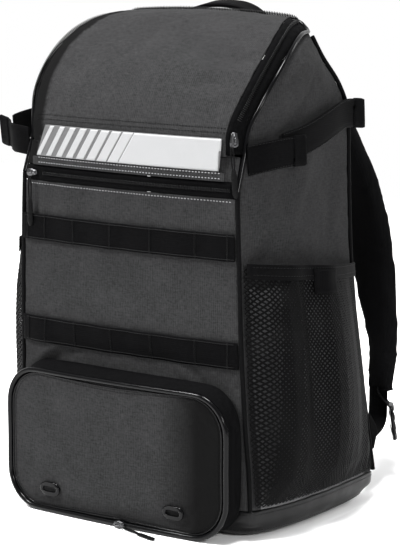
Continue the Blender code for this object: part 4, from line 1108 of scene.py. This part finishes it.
webbingRows = [dress("webbing_" + row, "webbingCloth", "black_webbing", plane="front", turned=True)
               for row in ("upper", "lower")]
lowerEnd = dict(stretch=0.005, rise=0.009)
batStraps = {}
for side in ("left", "right"):
    for end in ("front", "rear"):
        batStraps[end, side] = dress("bat_strap_%s_%s" % (end, side), "webbingCloth", "black_webbing",
                                     plane="side", turned=True)
    strap = refine("lower_webbing_" + side, "webbingCloth")
    top = max(vertex.co.z for vertex in strap.data.vertices)
    for vertex in strap.data.vertices:  # its top end runs up into the padding
        if vertex.co.z > top - lowerEnd["stretch"]:
            vertex.co.z += lowerEnd["rise"]
    settle(layCloth(strap, "front"), "black_webbing", "lower_webbing_" + side)
    dress("strap_anchor_" + side, "blackCloth", "black_cloth", 3, "side", crease=0.4)
dress("haul_handle", "webbingCloth", "black_webbing", plane="top", turned=True)


hemPlan = dict(length=0.019, lift=0.0008)


def makeHem(name, strap, endPoint):
    # the strap's end folded back on itself: a second layer over its last stretch
    shape = bmesh.new()
    shape.from_mesh(strap.data)
    shape.normal_update()
    end = Vector(endPoint)
    far = [v for v in shape.verts if (v.co - end).length > hemPlan["length"] + 0.015
           or abs((v.co - end).x) + abs((v.co - end).y) > hemPlan["length"]]
    bmesh.ops.delete(shape, geom=far, context="VERTS")
    bmesh.ops.holes_fill(shape, edges=[e for e in shape.edges if e.is_boundary], sides=0)
    shape.normal_update()
    for vertex in shape.verts:
        vertex.co += vertex.normal * hemPlan["lift"]
    bmesh.ops.triangulate(shape, faces=[f for f in shape.faces if len(f.verts) > 4])
    return settle(finishShape(shape, name, "webbingCloth"), "black_webbing")


def endOf(node, pick):
    points = [vertex.co for vertex in cadNodes[node].data.vertices]
    best = sorted(points, key=pick)[-4:]
    return sum(best, Vector()) / len(best)


for end, side in (("front", "right"), ("front", "left"), ("rear", "right"), ("rear", "left")):
    pick = (lambda p: -p.x) if (end, side) == ("front", "left") else (lambda p: p.y)
    tip = endOf("bat_strap_%s_%s" % (end, side), pick)
    makeHem(camel("bat_hem_%s_%s" % (end, side)), batStraps[end, side], tip)
print("webbing made")


# Ladder locks: rounded frames with grip ridges

gripPlan = dict(count=4, radius=0.0013, reach=0.012, halfHeight=0.0021, out=0.0024, top=0.0165, pitch=0.0110)
lockWebbing = dict(shares=(-0.012, -0.004, 0.004, 0.012), thickness=0.0018)


def makeLadderLock(side, sign):
    node = "ladder_lock_" + side
    dress(node, "glossPlastic", "gloss_plastic", crease=0.3, sharp=40)
    centre, ways, spans = axesOf(node)
    up = max(ways, key=lambda way: abs(way.z))
    up = up if up.z > 0 else -up
    outward = Vector((0.8 * sign, 0.6, 0.0)).normalized()
    outward = (outward - up * outward.dot(up)).normalized()
    across = up.cross(outward)
    shape = bmesh.new()
    for k in range(gripPlan["count"]):
        base = centre + outward * gripPlan["out"] + up * (gripPlan["top"] - gripPlan["pitch"] * k)
        sections = []
        for j in range(9):
            share = j / 8 * 2 - 1
            swell = math.sqrt(max(0.02, 1 - share * share * 0.92))
            sections.append((base + across * gripPlan["reach"] * share, up * gripPlan["halfHeight"] * swell,
                             outward * gripPlan["radius"] * swell))
        ovalLoft(shape, sections)
    settle(finishShape(shape, "ladderGrip" + side.capitalize(), "glossPlastic"), "gloss_plastic")
    strip = bmesh.new()  # webbing from the padding's end down through the bars
    rows = []
    for place in (Vector((0.100 * sign, 0.203, 0.100)), Vector((0.102 * sign, 0.203, 0.090)),
                  centre + up * 0.017 + outward * 0.003, centre + up * 0.006 - outward * 0.001):
        rows.append([strip.verts.new(place + across * wide) for wide in lockWebbing["shares"]])
    gridFaces(strip, rows)
    loop = finishShape(strip, "lockWebbing" + side.capitalize(), "webbingCloth")
    thicken(loop, lockWebbing["thickness"])
    divide(loop, 2)
    applyModifiers(loop)
    settle(layCloth(loop, "side"), "black_webbing")


for side, sign in (("left", -1), ("right", 1)):
    makeLadderLock(side, sign)


# Mesh side pockets

# the net is denser in the fold bands: partly the doubled cloth of real folds, partly painted shade of the
# folds
netPlan = dict(cellWide=0.0058, cellTall=0.0052, hole=0.56, foldShadeHole=0.30, yarn=0.0006, bottom=0.0335,
               topFront=0.2710, topRear=0.2480, folds=((-0.074, -0.050, 0.008), (0.040, 0.072, -0.006)))


def netSpan(surface, sign, z):
    hits = [y for y in np.arange(-0.105, 0.130, 0.001) if surface.side(sign, y, z) is not None]
    return (min(hits), max(hits)) if hits else None


def makeNet(side, sign):
    node = "mesh_pocket_" + side
    ground = bpy.data.objects.new("netGround", cadNodes[node].data.copy())
    surface = Surface(ground)
    bpy.data.objects.remove(ground, do_unlink=True)
    tall = 2 * round((netPlan["topFront"] - netPlan["bottom"]) / netPlan["cellTall"])
    levels = np.linspace(netPlan["bottom"], netPlan["topFront"], 13)
    spans = [netSpan(surface, sign, min(z, 0.244)) for z in levels]
    lows, highs = [s[0] for s in spans], [s[1] for s in spans]
    wide = 2 * round((highs[0] - lows[0]) * 1.12 / netPlan["cellWide"])
    shape = bmesh.new()
    verts = {}
    for i in range(wide + 1):
        for j in range(tall + 1):
            if (i + j) % 2:
                continue
            share, up = i / wide, j / tall
            share += 0.0016 / 0.2 * noise.noise(Vector((i * 0.31, j * 0.27, 2.0)))
            share = min(max(share, 0.004), 0.996)
            top = netPlan["topFront"] + (netPlan["topRear"] - netPlan["topFront"]) * share
            z = netPlan["bottom"] + (top - netPlan["bottom"]) * up
            y = float(np.interp(z, levels, lows)) * (1 - share) + float(np.interp(z, levels, highs)) * share
            spot = surface.side(sign, y, z, 0.0002)
            if spot is not None:
                verts[i, j] = shape.verts.new(spot)
    sheets = {"open": [], "gatheredShaded": []}
    for (i, j) in list(verts):
        ring = [verts.get(key) for key in ((i, j), (i + 1, j + 1), (i, j + 2), (i - 1, j + 1))]
        if None in ring:
            continue
        middle = sum((v.co for v in ring), Vector()) / 4
        lean = (middle.z - 0.15) / 0.12
        inFold = any(front + drift * lean < middle.y < rear + drift * lean
                     for front, rear, drift in netPlan["folds"])
        turned = ring if sign > 0 else ring[::-1]
        sheets["gatheredShaded" if inFold else "open"].append([v.co.copy() for v in turned])
    shape.free()
    # the fold bands get smaller holes: partly doubled cloth, partly painted shade
    for kind, hole in (("open", netPlan["hole"]), ("gatheredShaded", netPlan["foldShadeHole"])):
        mesh = bpy.data.meshes.new("netSheet")
        corners = [tuple(corner) for ring in sheets[kind] for corner in ring]
        mesh.from_pydata(corners, [], [tuple(range(k, k + 4)) for k in range(0, len(corners), 4)])
        options = {"Hole Share": hole, "Material": finishes["netYarn"]}
        net = bake(addObject("netSheet", mesh), netTree, options, kind + "Net" + side.capitalize())
        thicken(net, netPlan["yarn"])
        applyModifiers(net)
        settle(net, "black_mesh", node, smooth=False)
    return surface


topEdge = dict(height=0.2735, fall=0.0225, front=-0.094, length=0.2)  # the bindings' upper edge
hangTab = dict(front=-0.018, rear=0.016, bottom=0.2300, drop=0.0240, lift=0.0030, thickness=0.0018,
               level=0.04, netTop=0.2445)


def makeHangTab(side, sign, surface):
    # the folded loop sewn under the pocket's binding
    shape = bmesh.new()
    grid = []
    for i in range(7):
        row = []
        for j in range(9):
            y = hangTab["front"] + (hangTab["rear"] - hangTab["front"]) * j / 8
            z = hangTab["bottom"] + hangTab["drop"] * i / 6
            z -= topEdge["fall"] * (y - hangTab["level"]) / topEdge["length"]
            row.append(shape.verts.new(surface.side(sign, y, min(z, hangTab["netTop"]), hangTab["lift"])
                                       + Vector((0, 0, max(z - hangTab["netTop"], 0)))))
        grid.append(row)
    gridFaces(shape, grid)
    piece = finishShape(shape, "hangTab" + side.capitalize(), "webbingCloth")
    thicken(piece, hangTab["thickness"])
    applyModifiers(piece)
    settle(layCloth(piece, "side"), "black_webbing")


bindings = {}
for side, sign in (("left", -1), ("right", 1)):
    makeHangTab(side, sign, makeNet(side, sign))
    bindings[sign] = dress("mesh_binding_" + side, "bindingCloth", "black_webbing", plane="side", turned=True)
print("side pockets made")


# Stitches

seams = dict(
    pale=dict(guard=(0.3538, 0.3588), pocket=0.3318, lift=0.0004),
    flap=dict(turns=(0.02, 0.055), reach=0.116, lift=0.0004),
    webbing=dict(centres=(0.288, 0.183), tacks=(-0.128, -0.104, -0.064, -0.016, 0.034, 0.087, 0.124),
                 half=0.0118, edge=0.0112, reach=0.130, shift=0.0006),
    binding=dict(drops=(0.0030, 0.0105), front=-0.090, rear=0.104),
    boot=dict(heights=(0.0262, 0.0085), reach=0.5),
    strap=dict(shares=(0.06, 0.94), inset=0.002, near=0.006),
    lift=0.0003,
)

plan = seams["pale"]
frontGround = Surface(frontPanel, guardStrip, flap)
paleRows = [[frontGround.front(x, z, plan["lift"]) for x in np.linspace(-0.1125, 0.1125, 90)]
            for z in plan["guard"]]
paleRows.append([frontGround.front(x, plan["pocket"], plan["lift"]) for x in np.linspace(-0.124, 0.124, 100)])
stitches("paleStitches", paleRows, "pale", "paleThread", "charcoal_cloth")

plan = seams["flap"]
flapGround = Surface(flap)
blackRows = [[flapGround.over(x, turn, plan["lift"]) for x in np.linspace(-plan["reach"], plan["reach"], 80)]
             for turn in plan["turns"]]
boxRing = boxLine + boxLine[:1]
blackRows.append([insetOn(faceSurface, point, boxPiping["stitchInset"])[0] for point in boxRing])
stitches("blackStitches", blackRows, "plain", "blackThread", "black_cloth")

plan = seams["webbing"]
tacks = []
webbingGround = Surface(*webbingRows)
for centre in plan["centres"]:
    heights = np.linspace(centre - plan["half"], centre + plan["half"], 16)
    for x in plan["tacks"]:
        for shift in (-plan["shift"], plan["shift"]):
            tacks.append([webbingGround.front(x + shift, z, seams["lift"]) for z in heights])
    for edge in (-plan["edge"], plan["edge"]):
        tacks.append([webbingGround.front(x, centre + edge, seams["lift"])
                      for x in np.linspace(-plan["reach"], plan["reach"], 120)])
stitches("webbingTacks", tacks, "tack", "greyThread", "black_webbing")

plan = seams["binding"]
bindingRows = []
for sign, binding in bindings.items():
    ground = Surface(binding)
    for drop in plan["drops"]:
        row = []
        for y in np.linspace(plan["front"], plan["rear"], 110):
            top = topEdge["height"] - topEdge["fall"] * (y - topEdge["front"]) / topEdge["length"]
            row.append(ground.side(sign, y, top - drop, seams["lift"]))
        bindingRows.append(row)
stitches("bindingStitches", bindingRows, "plain", "greyThread", "black_webbing")

plan = seams["boot"]
bootGround = Surface(boot)
bootRows = []
for height in plan["heights"]:
    row = []
    for turn in np.linspace(0, math.tau, 240):
        way = Vector((math.cos(turn), math.sin(turn), 0.0))
        row.append(bootGround.look(Vector((0, 0, height)) + way * plan["reach"], -way, seams["lift"]))
    bootRows.append(row)
stitches("bootStitches", bootRows, "plain", "greyThread", "coated_cloth")

plan = seams["strap"]
strapRows = []
for (end, side), strap in batStraps.items():
    ground, sign = Surface(strap), -1 if side == "left" else 1
    points = [vertex.co for vertex in strap.data.vertices]
    first, last = min(p.y for p in points), max(p.y for p in points)
    for share in plan["shares"]:
        row = []
        for y in np.linspace(first + plan["inset"], last - plan["inset"], 60):
            near = [p.z for p in points if abs(p.y - y) < plan["near"]]
            if near:
                height = min(near) + (max(near) - min(near)) * share
                row.append(ground.side(sign, y, height, seams["lift"]))
        strapRows.append(row)
stitches("strapStitches", strapRows, "plain", "greyThread", "black_webbing")
print("stitches made")
